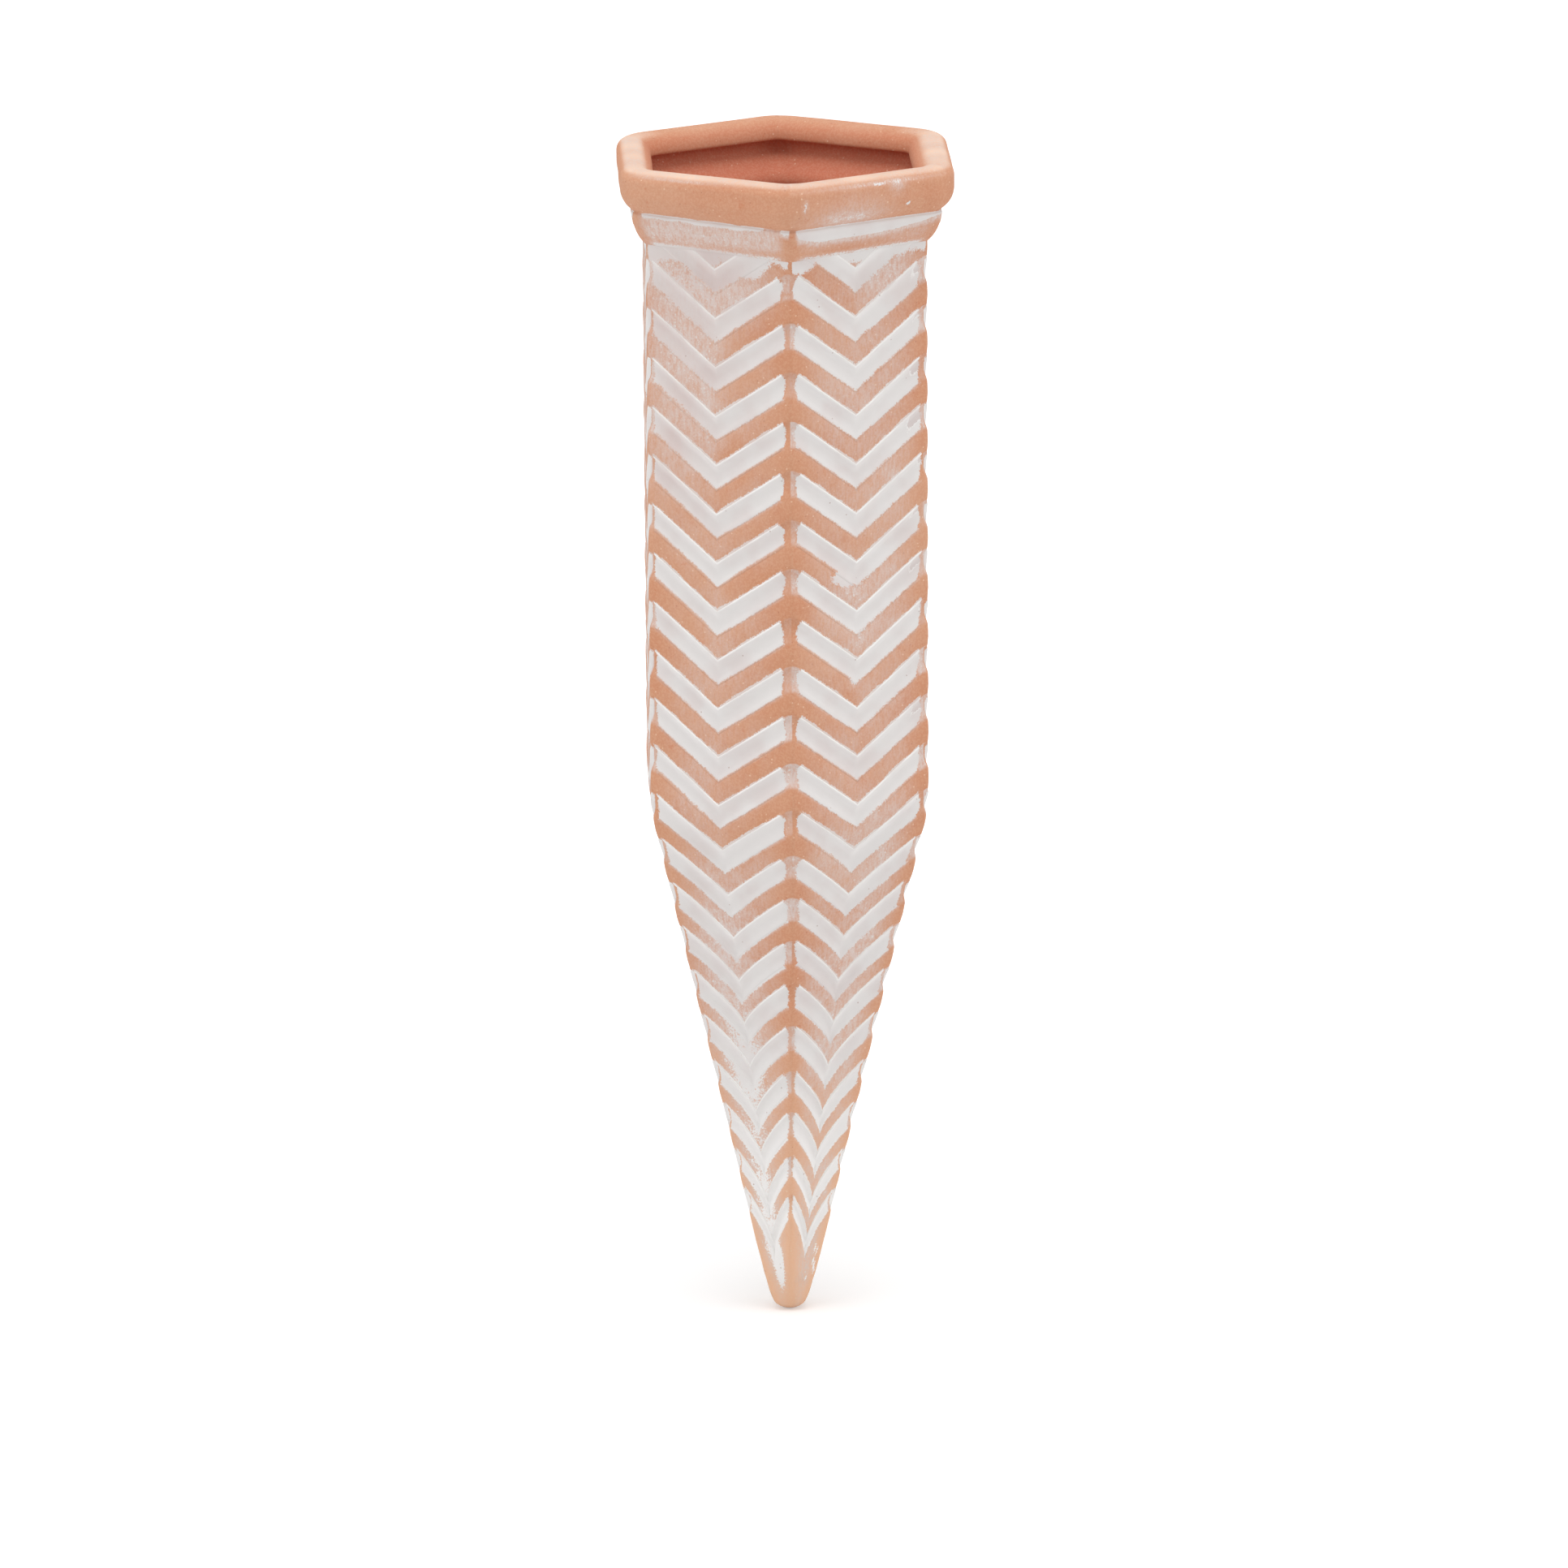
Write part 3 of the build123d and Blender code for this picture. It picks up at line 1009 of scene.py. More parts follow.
    def values(self, grid: Grid) -> Values:
        """Surface values that the finishes read, by name.

        Wash lies in the crease under the rim and at the foot of the collar, the
        rim's top is made lighter and hazier at the front and sides, and the clay
        inside is redder.

        Args:
            grid: Grid of the crown.

        Returns:
            The values by name.
        """
        z, outer = grid.z, self.outer(grid)
        found = {key: value * outer for key, value in self.wear.values(grid).items()}
        outside = outer * (grid.half > (self.crease_apothem - 2.0) * HALF_SIDE)
        below = self.crease_height - z + 0.05 * grid.ripple(4.0, 22)
        under = smoothstep(-0.1, 0.02, below)
        tail = (1.0 - smoothstep(*self.neck_tail, below)) * smoothstep(*self.neck_tail_gaps, grid.gap)
        for wash in self.neck_wash:
            here = np.isclose(grid.angle, wash.side.value) * outside * under
            depth = np.interp(grid.u, wash.places, wash.depths)
            strength = np.interp(grid.u, wash.places, wash.strengths)
            gone = smoothstep(depth - self.paint_soft, depth + self.paint_soft, below)
            found["paint"] += here * strength * (1.0 - gone)
            fringe = np.clip(strength, 0.0, 1.0) * (1.0 - smoothstep(depth, depth + wash.soft, below))
            found["haze"] += here * np.maximum(fringe, wash.haze * tail)

        up = z - self.collar_bottom
        foot = (1.0 - smoothstep(*self.foot_wash, up)) * smoothstep(*self.foot_wash_gaps, grid.gap) * outside
        share, height = self.foot_paint
        found["paint"] = np.clip(found["paint"] + share * foot * (up < height), 0.0, 1.0)
        azimuth = np.degrees(np.arctan2(grid.points[..., 1], grid.points[..., 0]))
        # The rim's top is made lighter and hazier, by direction round the axis.
        upper = np.interp(azimuth, self.lighter_top_turns, self.lighter_top, period=360.0)
        start, full = (self.total - drop for drop in self.lighter_top_drops)
        upper = upper * smoothstep(start, full, z)
        found["painted_lift_and_lighter_top"] = np.clip(1.1 * upper * (1.0 + 0.3 * grid.ripple(7.0, 23)), 0.0, 1.0)
        haze_amount = 0.03 + 0.5 * foot + 0.85 * upper
        near = np.arange(len(z))[:, None] <= np.argmax(z[:, 0]) + 8
        found["haze"] = np.clip(found["haze"] + haze_amount * near, 0.0, 1.0)
        inside = ~outer * smoothstep(self.lip_bottom + 0.3, self.lip_bottom - 0.3, z)
        found["ruddy"] = blend(0.4 * ~outer * smoothstep(self.total, self.total - 1.2, z), 1.0, inside)
        found["row"] = grid.row
        for key, rest in (("band_end", 5.0), ("flake", -3.0), ("spread", 0.0)):
            found[key] = np.full_like(z, rest)
        return found

    def build_clay(self, grid: Grid, values: Values, material: Material) -> None:
        """Closed ring of clay: collar, rim, lip and chamber.

        Args:
            grid: Grid of the crown.
            values: Surface values of the crown.
            material: Material of the clay.
        """
        faces = ring_faces(*grid.z.shape, closed=True)
        flat = {key: value.ravel() for key, value in values.items()}
        points = grid.points.reshape(-1, 3)
        piece = make_piece("clay_crown", points, [faces], flat, material)
        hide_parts("clay_body")

    def build_wash(self, grid: Grid, values: Values, material: Material) -> None:
        """Film of wash in the groove between collar and rim.

        Args:
            grid: Grid of the crown.
            values: Surface values of the crown.
            material: Material of the wash.
        """
        heights = grid.z[:, 0]
        low, high = self.film_heights
        outside = grid.half[:, 0] > self.film_within * HALF_SIDE
        rows = np.flatnonzero((heights > low) & (heights < high) & outside)
        patch, out = grid.points[rows], surface_normals(grid.points)[rows]
        lift = self.film_lift[0] + self.film_lift[1] * smoothstep(*self.film_lift_heights, heights[rows])
        lift[0], lift[-1] = self.film_borders
        face = patch + out * lift[:, None, None]
        back = patch[::-1] - out[::-1] * self.film_sink
        skin = np.concatenate([face, back])
        faces = ring_faces(*skin.shape[:2], closed=True)
        both = {key: np.concatenate([value[rows], value[rows][::-1]]).ravel() for key, value in values.items()}
        points = skin.reshape(-1, 3)
        piece = make_piece("lime_wash_collar", points, [faces], both, material)
        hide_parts("wash_collar")

    def build(self, clay: Material, wash: Material) -> None:
        """Build the clay and the wash of the crown.

        Args:
            clay: Material of the clay.
            wash: Material of the wash.
        """
        grid = self.grid()
        values = self.values(grid)
        self.build_clay(grid, values, clay)
        self.build_wash(grid, values, wash)


def linear(red: float, green: float, blue: float) -> tuple[float, float, float, float]:
    """Colour in the linear values that nodes take.

    Args:
        red: Red as shown on a screen, 0 to 255.
        green: Green in the same way.
        blue: Blue in the same way.

    Returns:
        Linear red, green and blue, and an alpha of 1.
    """
    values = [c / 255.0 for c in (red, green, blue)]
    straight = [c / 12.92 if c <= 0.04045 else ((c + 0.055) / 1.055) ** 2.4 for c in values]
    return (*straight, 1.0)


class Graph:
    """Small helper that adds and links the nodes of one material or of the world."""

    def __init__(self, owner: Material | bpy.types.World) -> None:
        """Start an empty node tree.

        Args:
            owner: Material or world that it belongs to.
        """
        owner.use_nodes = True
        self.tree = owner.node_tree
        self.tree.nodes.clear()

    def node(self, kind: str, inputs: dict | None = None, **settings) -> bpy.types.Node:
        """Add a node.

        Args:
            kind: Node type.
            inputs: Values or sockets by input name or number.
            settings: Properties of the node.

        Returns:
            The node.
        """
        made = self.tree.nodes.new(kind)
        for key, value in settings.items():
            setattr(made, key, value)
        for key, value in (inputs or {}).items():
            if isinstance(value, Socket):
                self.tree.links.new(value, made.inputs[key])
            else:
                made.inputs[key].default_value = value
        return made

    def math(self, operation: str, *values: Socket | float) -> Socket:
        """Result of a math node on values or sockets."""
        return self.node("ShaderNodeMath", dict(enumerate(values)), operation=operation).outputs[0]

    def times(self, a: Socket | float, b: Socket | float) -> Socket:
        """Product of two values."""
        return self.math("MULTIPLY", a, b)

    def scaled(self, a: Socket | float, b: Socket | float, c: Socket | float) -> Socket:
        """a times b, plus c."""
        return self.math("MULTIPLY_ADD", a, b, c)

    def value(self, name: str) -> Socket:
        """Surface value of the mesh, by attribute name."""
        made = self.node("ShaderNodeAttribute", attribute_name=name, attribute_type="GEOMETRY")
        return made.outputs["Fac"]

    def noise(self, vector: Socket, size: float, detail: float, rough: float) -> Socket:
        """Noise with features of a size in millimetres, 0 to 1 about a mean of 0.5."""
        inputs = {"Vector": vector, "Scale": 1.0 / (size * MM), "Detail": detail, "Roughness": rough}
        return self.node("ShaderNodeTexNoise", inputs).outputs["Fac"]

    def rise(self, x: Socket, low: float, high: float) -> Socket:
        """Smooth rise from 0 to 1.

        Args:
            x: Value.
            low: Value where it is 0, which may be the larger one.
            high: Value where it is 1.

        Returns:
            The result.
        """
        inputs = {"Value": x, "From Min": low, "From Max": high}
        made = self.node("ShaderNodeMapRange", inputs, interpolation_type="SMOOTHSTEP")
        return made.outputs["Result"]

    def in_view(self) -> Socket:
        """Whether the camera looks there, straight, by a reflection or through glass.

        Returns:
            1 or 0.
        """
        rays = self.node("ShaderNodeLightPath").outputs
        indirect = self.math("MAXIMUM", rays["Is Glossy Ray"], rays["Is Transmission Ray"])
        return self.math("MAXIMUM", rays["Is Camera Ray"], indirect)

    def mix(self, factor: Socket, under: Socket | Colour, over: Socket | Colour) -> Socket:
        """Blend of two colours, each a socket or the 0 to 255 values of a screen."""
        colours = [c if isinstance(c, Socket) else linear(*c) for c in (under, over)]
        return self.node("ShaderNodeMix", dict(zip((0, 6, 7), (factor, *colours))), data_type="RGBA").outputs[2]


@dataclass(frozen=True)
class Patches:
    """Soft patches of a colour, drawn where noise of a size rises from low to high."""

    colour: Colour
    size: float
    detail: float
    rough: float
    low: float
    high: float
    share: float = 1.0

    def over(self, g: Graph, place: Socket, under: Socket | Colour) -> Socket:
        """Colour with the patches laid over it."""
        amount = g.rise(g.noise(place, self.size, self.detail, self.rough), self.low, self.high)
        return g.mix(g.times(amount, self.share), under, self.colour)


@dataclass(frozen=True)
class Specks:
    """Scattered round specks of a colour.

    Cells of a size in millimetres cover the surface. A part of them, filled,
    holds a speck, whose radius is a share of its cell.
    """

    colour: Colour
    size: float
    radius: float
    filled: float
    share: float

    def over(self, g: Graph, place: Socket, under: Socket, where: Socket | None = None) -> Socket:
        """Colour with the specks laid over it, all over or where another value says.

        Args:
            g: Graph of the material.
            place: Place on the object.
            under: Colour below.
            where: Strength from 0 to 1.

        Returns:
            The colour.
        """
        cells = g.node("ShaderNodeTexVoronoi", {"Vector": place, "Scale": 1.0 / (self.size * MM)})
        chance = g.node("ShaderNodeSeparateColor", {"Color": cells.outputs["Color"]}).outputs[0]
        chosen = g.math("LESS_THAN", chance, self.filled)
        amount = g.times(chosen, g.rise(cells.outputs["Distance"], self.radius, self.radius * 0.6))
        if where is not None:
            amount = g.times(amount, where)
        return g.mix(g.times(amount, self.share), under, self.colour)


WASH: Colour = (229, 225, 223)
SAND: Colour = (240, 212, 184)


@dataclass(frozen=True)
class ClayAndWash:
    """Finish of fired clay with lime wash rubbed over it.

    Both materials draw the same clay and the same wash, so that a film of wash
    and the clay round it meet without a line. Distances are in millimetres, and
    each pair is the start and the end of a soft edge.
    """

    clay: Colour = (208, 145, 111)
    clay_patches: tuple[Patches, ...] = (
        Patches((212, 155, 123), 22.0, 2.0, 0.5, 0.38, 0.66),
        Patches((202, 131, 96), 6.0, 3.0, 0.6, 0.52, 0.74, 0.4),
        Patches((204, 122, 82), 1.3, 4.0, 0.7, 0.6, 0.7, 0.45),
    )
    # Lighter clay laid on by the lightening value: painted light towards the tip, and the lighter rim top.
    clay_painted_lift_and_lighter_top: Colour = (252, 209, 174)
    clay_inside: Colour = (210, 125, 97)
    inside_share: float = 0.95
    clay_grain: tuple[Patches | Specks, ...] = (
        Patches(SAND, 0.34, 2.0, 0.6, 0.42, 0.62, 0.12),
        Specks(SAND, 0.8, 0.2, 0.22, 0.5),
        Specks((178, 104, 76), 1.0, 0.15, 0.25, 0.45),
    )
    wash_pink: Colour = (217, 203, 200)
    # Near-white of the paint ridges, also laid on the wash as painted light.
    wash_line: Colour = (250, 248, 246)
    wash_flaked: Colour = (214, 202, 199)
    pinholes: Specks = Specks((184, 160, 152), 1.9, 0.075, 0.4, 0.7)
    veil: Colour = (222, 205, 198)
    veil_most: float = 0.92
    flecks: Specks = Specks(WASH, 1.0, 0.24, 0.45, 0.6)
    fleck_hazes: Pair = (0.25, 0.8)
    powder: Specks = Specks(WASH, 0.42, 0.3, 0.5, 0.6)
    powder_hazes: Pair = (0.3, 0.9)
    streak_height: float = 0.25
    pitch: float = 7.3
    band_share: float = 0.505
    fuzzy: Pair = (0.46, 0.62)
    low_edge: Pair = (-0.14, 0.2)
    top_edge: Pair = (-0.06, 0.06)
    lip_edge: Pair = (0.22, 0.08)
    end_edge: Pair = (-0.12, 0.14)
    paint_edge: Pair = (0.36, 0.6)
    # Edges of the bright line under each upper edge: first a paint ridge that also serves as painted light over
    # the shade of the step, then a broader lift of the wash there, which is painted light.
    line_edge: Pair = (0.45, 0.12)
    painted_light_edge: Pair = (2.0, 0.3)
    tail_edge: Pair = (-0.75, 0.1)
    flake_edge: Pair = (-0.05, 0.05)
    ridge_edge: Pair = (0.16, 0.04)
    ridge_inset: float = 0.12
    bump_height: float = 0.05
    specular: float = 0.28

    def clay_colour(self, g: Graph, place: Socket) -> Socket:
        """Colour of the bare clay, with its patches, light sand and dark grains, lightened towards the tip as
        painted light and lighter on the rim's top.

        Args:
            g: Graph of the material.
            place: Place on the object.

        Returns:
            The colour.
        """
        clay = self.clay
        for layer in self.clay_patches:
            clay = layer.over(g, place, clay)
        # Painted light lightens the clay towards the tip; on the rim's top the same mix makes it lighter.
        clay = g.mix(g.value("painted_lift_and_lighter_top"), clay, self.clay_painted_lift_and_lighter_top)
        clay = g.mix(g.times(g.value("ruddy"), self.inside_share), clay, self.clay_inside)
        for layer in self.clay_grain:
            clay = layer.over(g, place, clay)
        return clay

    def wash_cover(self, g: Graph, medium: Socket, grit: Socket, broad: Socket) -> tuple[Socket, ...]:
        """Where wash lies: bands in the grooves, a spill on their upper lips, and patches.

        Args:
            g: Graph of the material.
            medium: Noise of about a millimetre.
            grit: Noise of about a quarter of a millimetre, about zero.
            broad: Noise of several millimetres, for the places where edges are soft.

        Returns:
            Cover from 0 to 1, the bright line along the upper edges, which is a
            paint ridge together with painted light over the shade of each step, and
            the haze that goes on under the lower edges.
        """
        phase = g.math("FRACT", g.value("row"))
        end = g.value("band_end")
        below_edge = g.times(phase, self.pitch)
        above_next = g.times(g.math("SUBTRACT", 1.0, phase), self.pitch)
        low_edge = g.math("SUBTRACT", g.math("ADD", g.value("spread"), self.band_share), phase)
        low_edge = g.times(low_edge, self.pitch)
        rub = g.math("ADD", g.scaled(medium, 0.9, -0.45), grit)
        fuzzy = g.rise(broad, *self.fuzzy)
        low = g.rise(g.scaled(rub, g.scaled(g.value("haze"), 0.9, 0.22), low_edge), *self.low_edge)
        top = g.rise(g.scaled(grit, 0.1, below_edge), *self.top_edge)
        spill = g.scaled(fuzzy, 0.22, g.times(rub, 0.5))
        lip = g.rise(g.math("SUBTRACT", above_next, spill), *self.lip_edge)
        ends = g.rise(g.scaled(rub, 0.6, end), *self.end_edge)
        band = g.times(g.times(low, top), ends)
        lip = g.times(g.times(lip, ends), 0.8)
        patches = g.rise(g.scaled(rub, 0.6, g.value("paint")), *self.paint_edge)
        cover = g.math("MAXIMUM", g.math("MAXIMUM", band, lip), patches)
        # A paint ridge under each upper edge, drawn brighter as painted light over the shade of the step.
        line = g.times(g.rise(below_edge, *self.line_edge), g.scaled(fuzzy, -0.4, 0.55))
        # Painted light: the wash is lightened up to two millimetres under each upper edge, where the step shades
        # it.
        line = g.times(g.scaled(g.rise(below_edge, *self.painted_light_edge), 0.3, line), ends)
        tail = g.times(g.rise(low_edge, *self.tail_edge), g.times(ends, top))
        return cover, line, tail

    def wash_colour(self, g: Graph, place: Socket, grit: Socket, line: Socket) -> Socket:
        """Colour of the wash: off-white, pinker where it is thin, flaked in patches, with pinholes.

        Args:
            g: Graph of the material.
            place: Place on the object.
            grit: Noise of about a quarter of a millimetre, about zero.
            line: Bright line along the upper edges, a paint ridge together with painted light.

        Returns:
            The colour.
        """
        pink = g.times(g.rise(g.noise(place, 8.0, 3.0, 0.5), 0.42, 0.7), 0.5)
        pink = g.scaled(g.value("thin"), 0.9, pink)
        # Less pink where the lightening value is high: painted light towards the tip, and the lighter rim top.
        pink = g.times(pink, g.rise(g.value("painted_lift_and_lighter_top"), 0.5, 0.0))
        wash = g.mix(g.math("MINIMUM", pink, 1.0), WASH, self.wash_pink)
        inside = g.scaled(grit, 0.6, g.value("flake"))
        wash = g.mix(g.times(g.rise(inside, *self.flake_edge), 0.85), wash, self.wash_flaked)
        ridge = g.rise(g.math("ABSOLUTE", g.math("ADD", inside, self.ridge_inset)), *self.ridge_edge)
        # Whiter wash along the bright line (paint ridge and painted light), on flake ridges, and where the
        # lightening value is high: painted light towards the tip, and the lighter rim top.
        bright = g.math("MAXIMUM", line, g.times(ridge, 0.5))
        bright = g.math("MAXIMUM", bright, g.times(g.rise(g.value("painted_lift_and_lighter_top"), 0.0, 0.6), 0.8))
        wash = g.mix(bright, wash, self.wash_line)
        return self.pinholes.over(g, place, wash)

    def material(self, name: str, rough: float, grain: float) -> Material:
        """Build one material.

        Args:
            name: Name of the material.
            rough: Mean roughness.
            grain: Strength of the bump.

        Returns:
            The material.
        """
        made = bpy.data.materials.new(name)
        g = Graph(made)
        place = g.node("ShaderNodeTexCoord").outputs["Object"]
        stretch = {"Vector": place, "Scale": (1.0, 1.0, self.streak_height)}
        fine = g.noise(place, 0.26, 2.0, 0.6)
        medium = g.noise(place, 1.1, 3.0, 0.55)
        broad = g.noise(place, 7.0, 2.0, 0.5)
        streak = g.noise(g.node("ShaderNodeMapping", stretch).outputs["Vector"], 0.4, 3.0, 0.65)
        grit = g.scaled(fine, 1.6, -0.8)
        cover, line, tail = self.wash_cover(g, medium, grit, broad)

        haze = g.math("MAXIMUM", g.value("haze"), g.times(tail, 0.45))
        rubbed = g.math("ADD", g.times(streak, 0.5), g.times(fine, 0.3))
        rubbed = g.rise(g.scaled(medium, 0.2, rubbed), 0.36, 0.64)
        veil = g.math("MINIMUM", g.times(g.scaled(rubbed, 0.9, 0.45), haze), self.veil_most)
        veiled = g.mix(veil, self.clay_colour(g, place), self.veil)
        veiled = self.flecks.over(g, place, veiled, g.rise(haze, *self.fleck_hazes))
        veiled = self.powder.over(g, place, veiled, g.rise(haze, *self.powder_hazes))
        opacity = g.scaled(g.value("thin"), -0.2, 1.0)
        colour = g.mix(g.times(cover, opacity), veiled, self.wash_colour(g, place, grit, line))

        height = g.scaled(cover, 0.3, g.times(g.scaled(cover, -0.6, 1.0), fine))
        bump = g.node("ShaderNodeBump", {"Strength": grain, "Distance": self.bump_height * MM, "Height": height})
        shader = g.node("ShaderNodeBsdfPrincipled", {
            "Base Color": colour, "Roughness": g.scaled(fine, 0.2, rough - 0.1),
            "Normal": bump.outputs["Normal"], "Specular IOR Level": self.specular,
        })
        g.node("ShaderNodeOutputMaterial", {"Surface": shader.outputs[0]})
        return made


@dataclass(frozen=True)
class Lamp:
    """Square soft lamp that points at the spike: place and width in metres, power in watts."""

    name: str
    place: Triple
    size: float
    power: float
    target: Triple = (0.0, 0.0, 0.1)

    def build(self) -> None:
        """Hang the lamp."""
        data = bpy.data.lights.new(self.name, "AREA")
        data.shape = "SQUARE"
        data.size = self.size
        data.energy = self.power
        lamp = bpy.data.objects.new(self.name, data)
        aim = (Vector(self.target) - Vector(self.place)).to_track_quat("-Z", "Y")
        lamp.matrix_world = Matrix.Translation(self.place) @ aim.to_matrix().to_4x4()
        bpy.context.scene.collection.objects.link(lamp)


@dataclass
class Studio:
    """Floor, lights and the camera of the photograph.

    distance and aim are in millimetres, pitch, yaw and roll in degrees, and
    axis_x, axis_y, focal and image in pixels of the photograph.
    """

    distance: float = 1784.0
    pitch: float = 14.415
    yaw: float = 2.144
    aim: float = 90.0
    axis_x: float = 969.2
    axis_y: float = 906.4
    focal: float = 14585.0
    roll: float = -0.32
    image: float = 1932.0
    sensor: float = 36.0
    clip_end: float = 20.0
    floor_size: float = 6.0
    floor_colour: float = 0.84
    floor_glow: float = 0.32
    backdrop_glow: float = 0.52
    glow_reach: Pair = (0.05, 0.45)
    sky: float = 0.5
    lamps: tuple[Lamp, ...] = (
        Lamp("left_softbox", (-1.7, -0.35, 0.6), 1.3, 7.8),
        Lamp("right_softbox", (1.7, -0.35, 0.6), 1.3, 7.8),
        Lamp("front_softbox", (0.1, -2.4, 0.1), 0.8, 7.0),
        Lamp("top_softbox", (0.0, -0.3, 1.7), 1.0, 13.5),
    )

    def camera(self) -> None:
        """Camera of the photograph, re-aimed so that it needs no shift."""
        pitch, yaw = math.radians(self.pitch), math.radians(self.yaw)
        back = Vector((-math.cos(pitch) * math.sin(yaw), -math.cos(pitch) * math.cos(yaw), math.sin(pitch)))
        place = back * self.distance * MM + Vector((0.0, 0.0, self.aim * MM))
        middle = self.image / 2.0
        right = math.atan((middle - self.axis_x) / self.focal)
        down = math.atan((middle - self.axis_y) / self.focal)
        turn = back.to_track_quat("Z", "Y").to_matrix()
        for angle, axis in ((math.radians(self.roll), "Z"), (-right, "Y"), (-down, "X")):
            turn = turn @ Matrix.Rotation(angle, 3, axis)
        data = bpy.data.cameras.new("photo_camera")
        data.sensor_width = self.sensor
        data.lens = self.sensor * self.focal / self.image
        data.clip_end = self.clip_end
        camera = bpy.data.objects.new("photo_camera", data)
        camera.matrix_world = Matrix.Translation(place) @ turn.to_4x4()
        bpy.context.scene.collection.objects.link(camera)
        bpy.context.scene.camera = camera

    def floor(self) -> None:
        """Plain white floor that keeps the shadow under the tip.

        Its glow, which lights nothing, rises from floor_glow near the object
        to backdrop_glow further out.
        """
        half = self.floor_size / 2.0
        mesh = bpy.data.meshes.new("floor")
        corners = [(-half, -half, 0.0), (half, -half, 0.0), (half, half, 0.0), (-half, half, 0.0)]
        mesh.from_pydata(corners, [], [(0, 1, 2, 3)])
        material = bpy.data.materials.new("floor")
        g = Graph(material)
        place = g.node("ShaderNodeTexCoord").outputs["Object"]
        far = g.node("ShaderNodeVectorMath", {0: place}, operation="LENGTH").outputs["Value"]
        near, reach = self.glow_reach
        glow = g.node("ShaderNodeMapRange", {
            "Value": far, "From Min": near, "From Max": reach,
            "To Min": self.floor_glow, "To Max": self.backdrop_glow,
        }).outputs["Result"]
        matte = g.node("ShaderNodeBsdfDiffuse", {"Color": (*[self.floor_colour] * 3, 1.0)})
        light = g.node("ShaderNodeEmission", {"Color": WHITE, "Strength": g.times(g.in_view(), glow)})
        both = g.node("ShaderNodeAddShader", {0: matte.outputs[0], 1: light.outputs[0]})
        g.node("ShaderNodeOutputMaterial", {"Surface": both.outputs[0]})
        mesh.materials.append(material)
        floor = bpy.data.objects.new("floor", mesh)
        bpy.context.scene.collection.objects.link(floor)

    def world(self) -> None:
        """Even white light from all round, and a white backdrop for the camera."""
        world = bpy.data.worlds.new("studio")
        bpy.context.scene.world = world
        g = Graph(world)
        levels = {"Value": g.in_view(), "To Min": self.sky, "To Max": 1.0}
        strength = g.node("ShaderNodeMapRange", levels).outputs["Result"]
        sky = g.node("ShaderNodeBackground", {"Color": WHITE, "Strength": strength})
        g.node("ShaderNodeOutputWorld", {"Surface": sky.outputs[0]})

    def build(self) -> None:
        """Set up the view, the floor and the light."""
        bpy.context.scene.view_settings.view_transform = "Standard"
        self.camera()
        self.floor()
        self.world()
        for lamp in self.lamps:
            lamp.build()


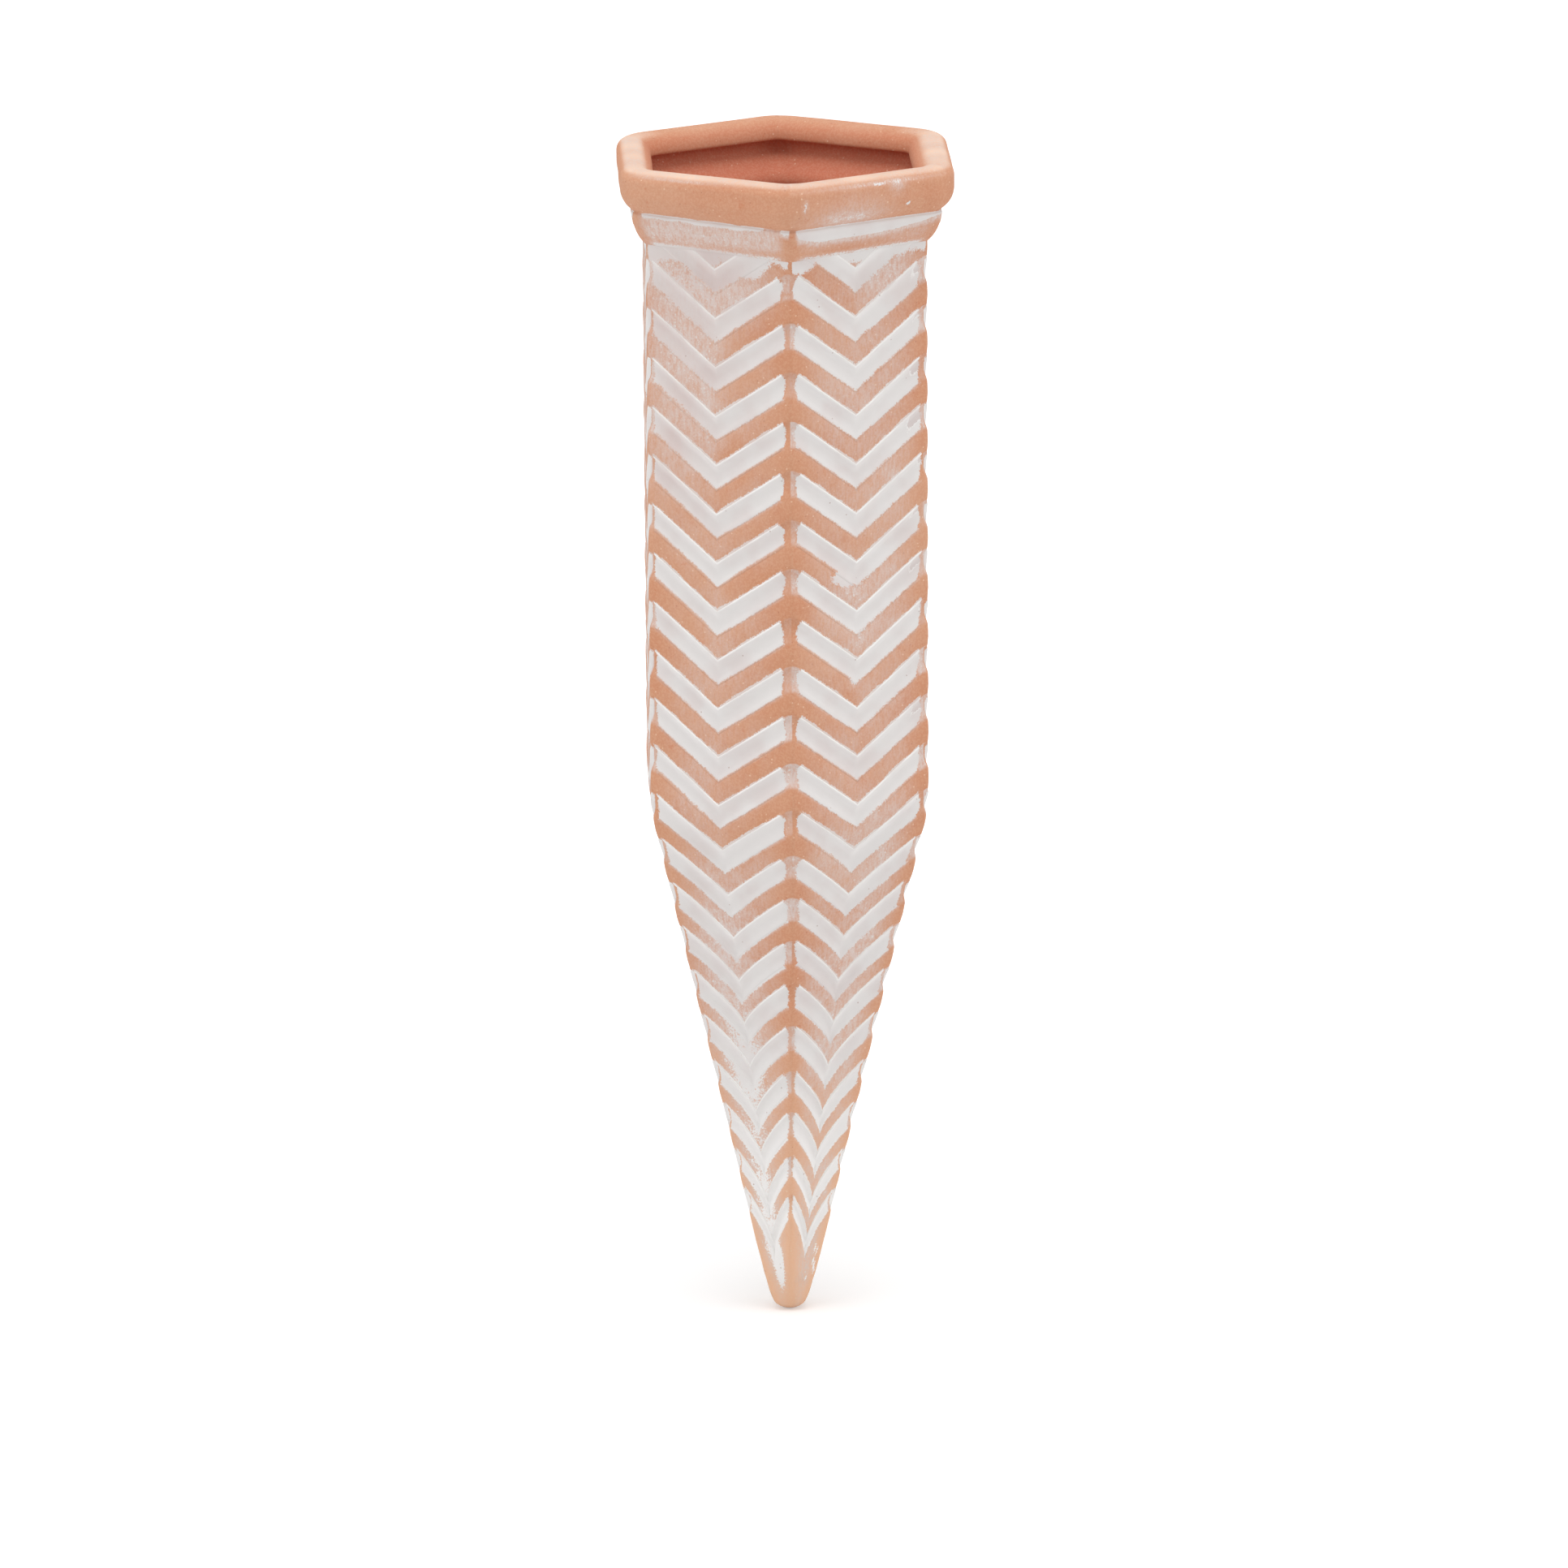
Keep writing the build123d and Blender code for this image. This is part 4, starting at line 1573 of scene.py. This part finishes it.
def rubbed_wear() -> Wear:
    """Wear of the wash on all six sides, the two in the photograph as they are there.

    Returns:
        The wear, side by side.
    """
    return Wear({
        Side.ONE: (
            Smear(4.0, 150.0, 4.0, 10.0, haze=0.5, thin=0.4),
            Smear(-3.0, 96.0, 2.4, 2.0, paint=1.1, haze=0.5),
            Smear(1.0, 34.0, 2.4, 9.0, paint=0.4, haze=0.5),
            Smear(-2.0, 178.6, 7.0, 0.5, paint=0.4, haze=0.5),
        ),
        Side.TWO: (
            Smear(-7.0, 156.0, 6.0, 9.0, haze=0.7, thin=0.6),
            Smear(2.0, 127.0, 2.0, 1.4, paint=1.2, haze=0.4),
            Smear(-1.5, 58.0, 3.0, 12.0, paint=0.3, haze=0.5),
        ),
        Side.THREE: (
            Smear(6.0, 140.0, 5.0, 12.0, haze=0.6, thin=0.5),
            Smear(-1.0, 88.0, 1.4, 1.6, paint=1.1, haze=0.4),
            Smear(0.5, 24.0, 2.0, 7.0, paint=0.6, haze=0.5),
            Smear(5.0, 178.5, 5.0, 0.5, paint=0.45, haze=0.5),
        ),
        Side.FOUR: (
            Smear(-5.0, 162.0, 6.0, 6.0, haze=0.6, thin=0.4),
            Smear(1.5, 106.0, 2.0, 1.5, paint=1.2, haze=0.5),
            Smear(0.0, 46.0, 3.0, 11.0, paint=0.35, haze=0.5),
            Smear(0.2, 9.0, 0.8, 4.0, paint=1.0),
        ),
        Side.FIVE: (
            Smear(-4.5, 163.5, 9.0, 6.0, paint=0.42, haze=0.95, thin=0.75),
            Smear(-6.5, 154.0, 6.0, 9.0, haze=0.75, thin=0.7),
            Smear(-8.0, 140.0, 5.0, 11.0, haze=0.5, thin=0.5),
            Smear(-2.0, 146.0, 2.2, 11.0, haze=0.6, thin=0.2),
            Smear(-0.6, 120.0, 1.6, 10.0, haze=0.2),
            Smear(3.0, 163.0, 6.0, 3.4, lean=30.0, haze=0.6),
            Smear(-2.4, 58.0, 4.8, 14.0, paint=0.28, haze=0.95),
            Smear(-0.9, 41.0, 3.6, 8.0, paint=0.8, haze=0.7),
            Smear(-0.9, 28.0, 2.9, 7.0, paint=0.42, haze=0.8),
            Smear(-0.4, 19.0, 2.0, 6.0, paint=0.62, haze=0.9),
            Smear(-0.5, 12.0, 1.2, 4.0, paint=0.6, haze=0.8),
            Smear(0.55, 8.2, 0.85, 4.6, paint=1.15, haze=0.6),
            Smear(-5.0, 179.35, 7.5, 0.18, paint=0.45, haze=0.5),
        ),
        Side.SIX: (
            Smear(-1.9, 119.2, 3.0, 1.5, paint=1.3),
            Smear(-1.9, 116.6, 3.0, 1.6, paint=0.15, haze=0.75),
            Smear(0.0, 111.7, 1.1, 1.5, paint=1.0),
            Smear(-0.2, 109.3, 1.8, 1.6, paint=0.1, haze=0.6),
            Smear(-1.1, 103.0, 0.8, 0.9, paint=0.8, haze=0.5),
            Smear(0.5, 50.0, 4.0, 22.0, haze=0.1),
            Smear(1.7, 10.4, 0.5, 0.9, paint=0.8),
            Smear(1.6, 7.4, 0.4, 1.4, lean=15.0, paint=0.9),
            Smear(0.4, 5.5, 0.3, 0.4, paint=0.9),
            Smear(4.5, 164.5, 6.0, 3.6, lean=25.0, paint=0.3, haze=0.8),
            Smear(0.5, 179.1, 11.0, 0.3, paint=0.38, haze=0.5),
            Smear(-11.8, 177.0, 0.4, 0.9, paint=0.65, haze=0.4),
            Smear(1.2, 178.9, 0.9, 0.22, paint=0.75),
            Smear(4.2, 178.5, 1.2, 0.8, paint=0.36, haze=0.7),
            Smear(6.1, 175.6, 0.6, 0.28, lean=25.0, paint=0.9),
            Smear(-4.0, 174.4, 5.5, 1.2, paint=0.4, haze=0.8),
            Smear(-3.0, 176.0, 6.0, 2.0, haze=0.28),
        ),
    })


def crease_wash() -> tuple[NeckWash, ...]:
    """Wash in the crease under the rim.

    Returns:
        The wash of each side.
    """
    wedge = (
        (-12.6, -11.6, -8.0, 0.0, 5.0, 9.0, 12.5),
        (0.1, 1.3, 2.0, 1.9, 1.7, 1.15, 0.6),
        (0.0, 1.4, 1.6, 1.5, 1.3, 1.1, 0.7),
    )
    thread = (
        (-12.0, -11.0, -7.0, -5.0, -1.0, 4.0, 8.4, 9.4, 11.4, 11.8, 12.8, 13.0),
        (0.3, 0.45, 0.55, 0.4, 0.6, 0.55, 0.4, 0.0, 0.0, 0.5, 0.5, 0.0),
        (0.0, 1.0, 1.4, 0.9, 1.6, 1.6, 1.3, 0.0, 0.0, 1.3, 1.3, 0.0),
    )
    mirrored = (tuple(-u for u in reversed(wedge[0])), wedge[1][::-1], wedge[2][::-1])
    return (
        NeckWash(Side.ONE, *mirrored, soft=1.3, haze=0.4),
        NeckWash(Side.TWO, *thread, soft=0.5, haze=0.5),
        NeckWash(Side.THREE, *wedge, soft=1.3, haze=0.35),
        NeckWash(Side.FOUR, *thread, soft=0.5, haze=0.5),
        NeckWash(Side.FIVE, *thread, soft=0.9, haze=0.75),
        NeckWash(Side.SIX, *wedge, soft=1.4, haze=0.3),
    )


def main() -> None:
    """Build the shaft, the crown, their wash and the studio."""
    wear = rubbed_wear()
    finish = ClayAndWash()
    clay = finish.material("terracotta", 0.86, 0.5)
    wash = finish.material("whitewash", 0.8, 0.35)
    Shaft(Form(), wear).build(clay, wash)
    Crown(wear, crease_wash()).build(clay, wash)
    Studio().build()


if __name__ == "__main__":
    main()
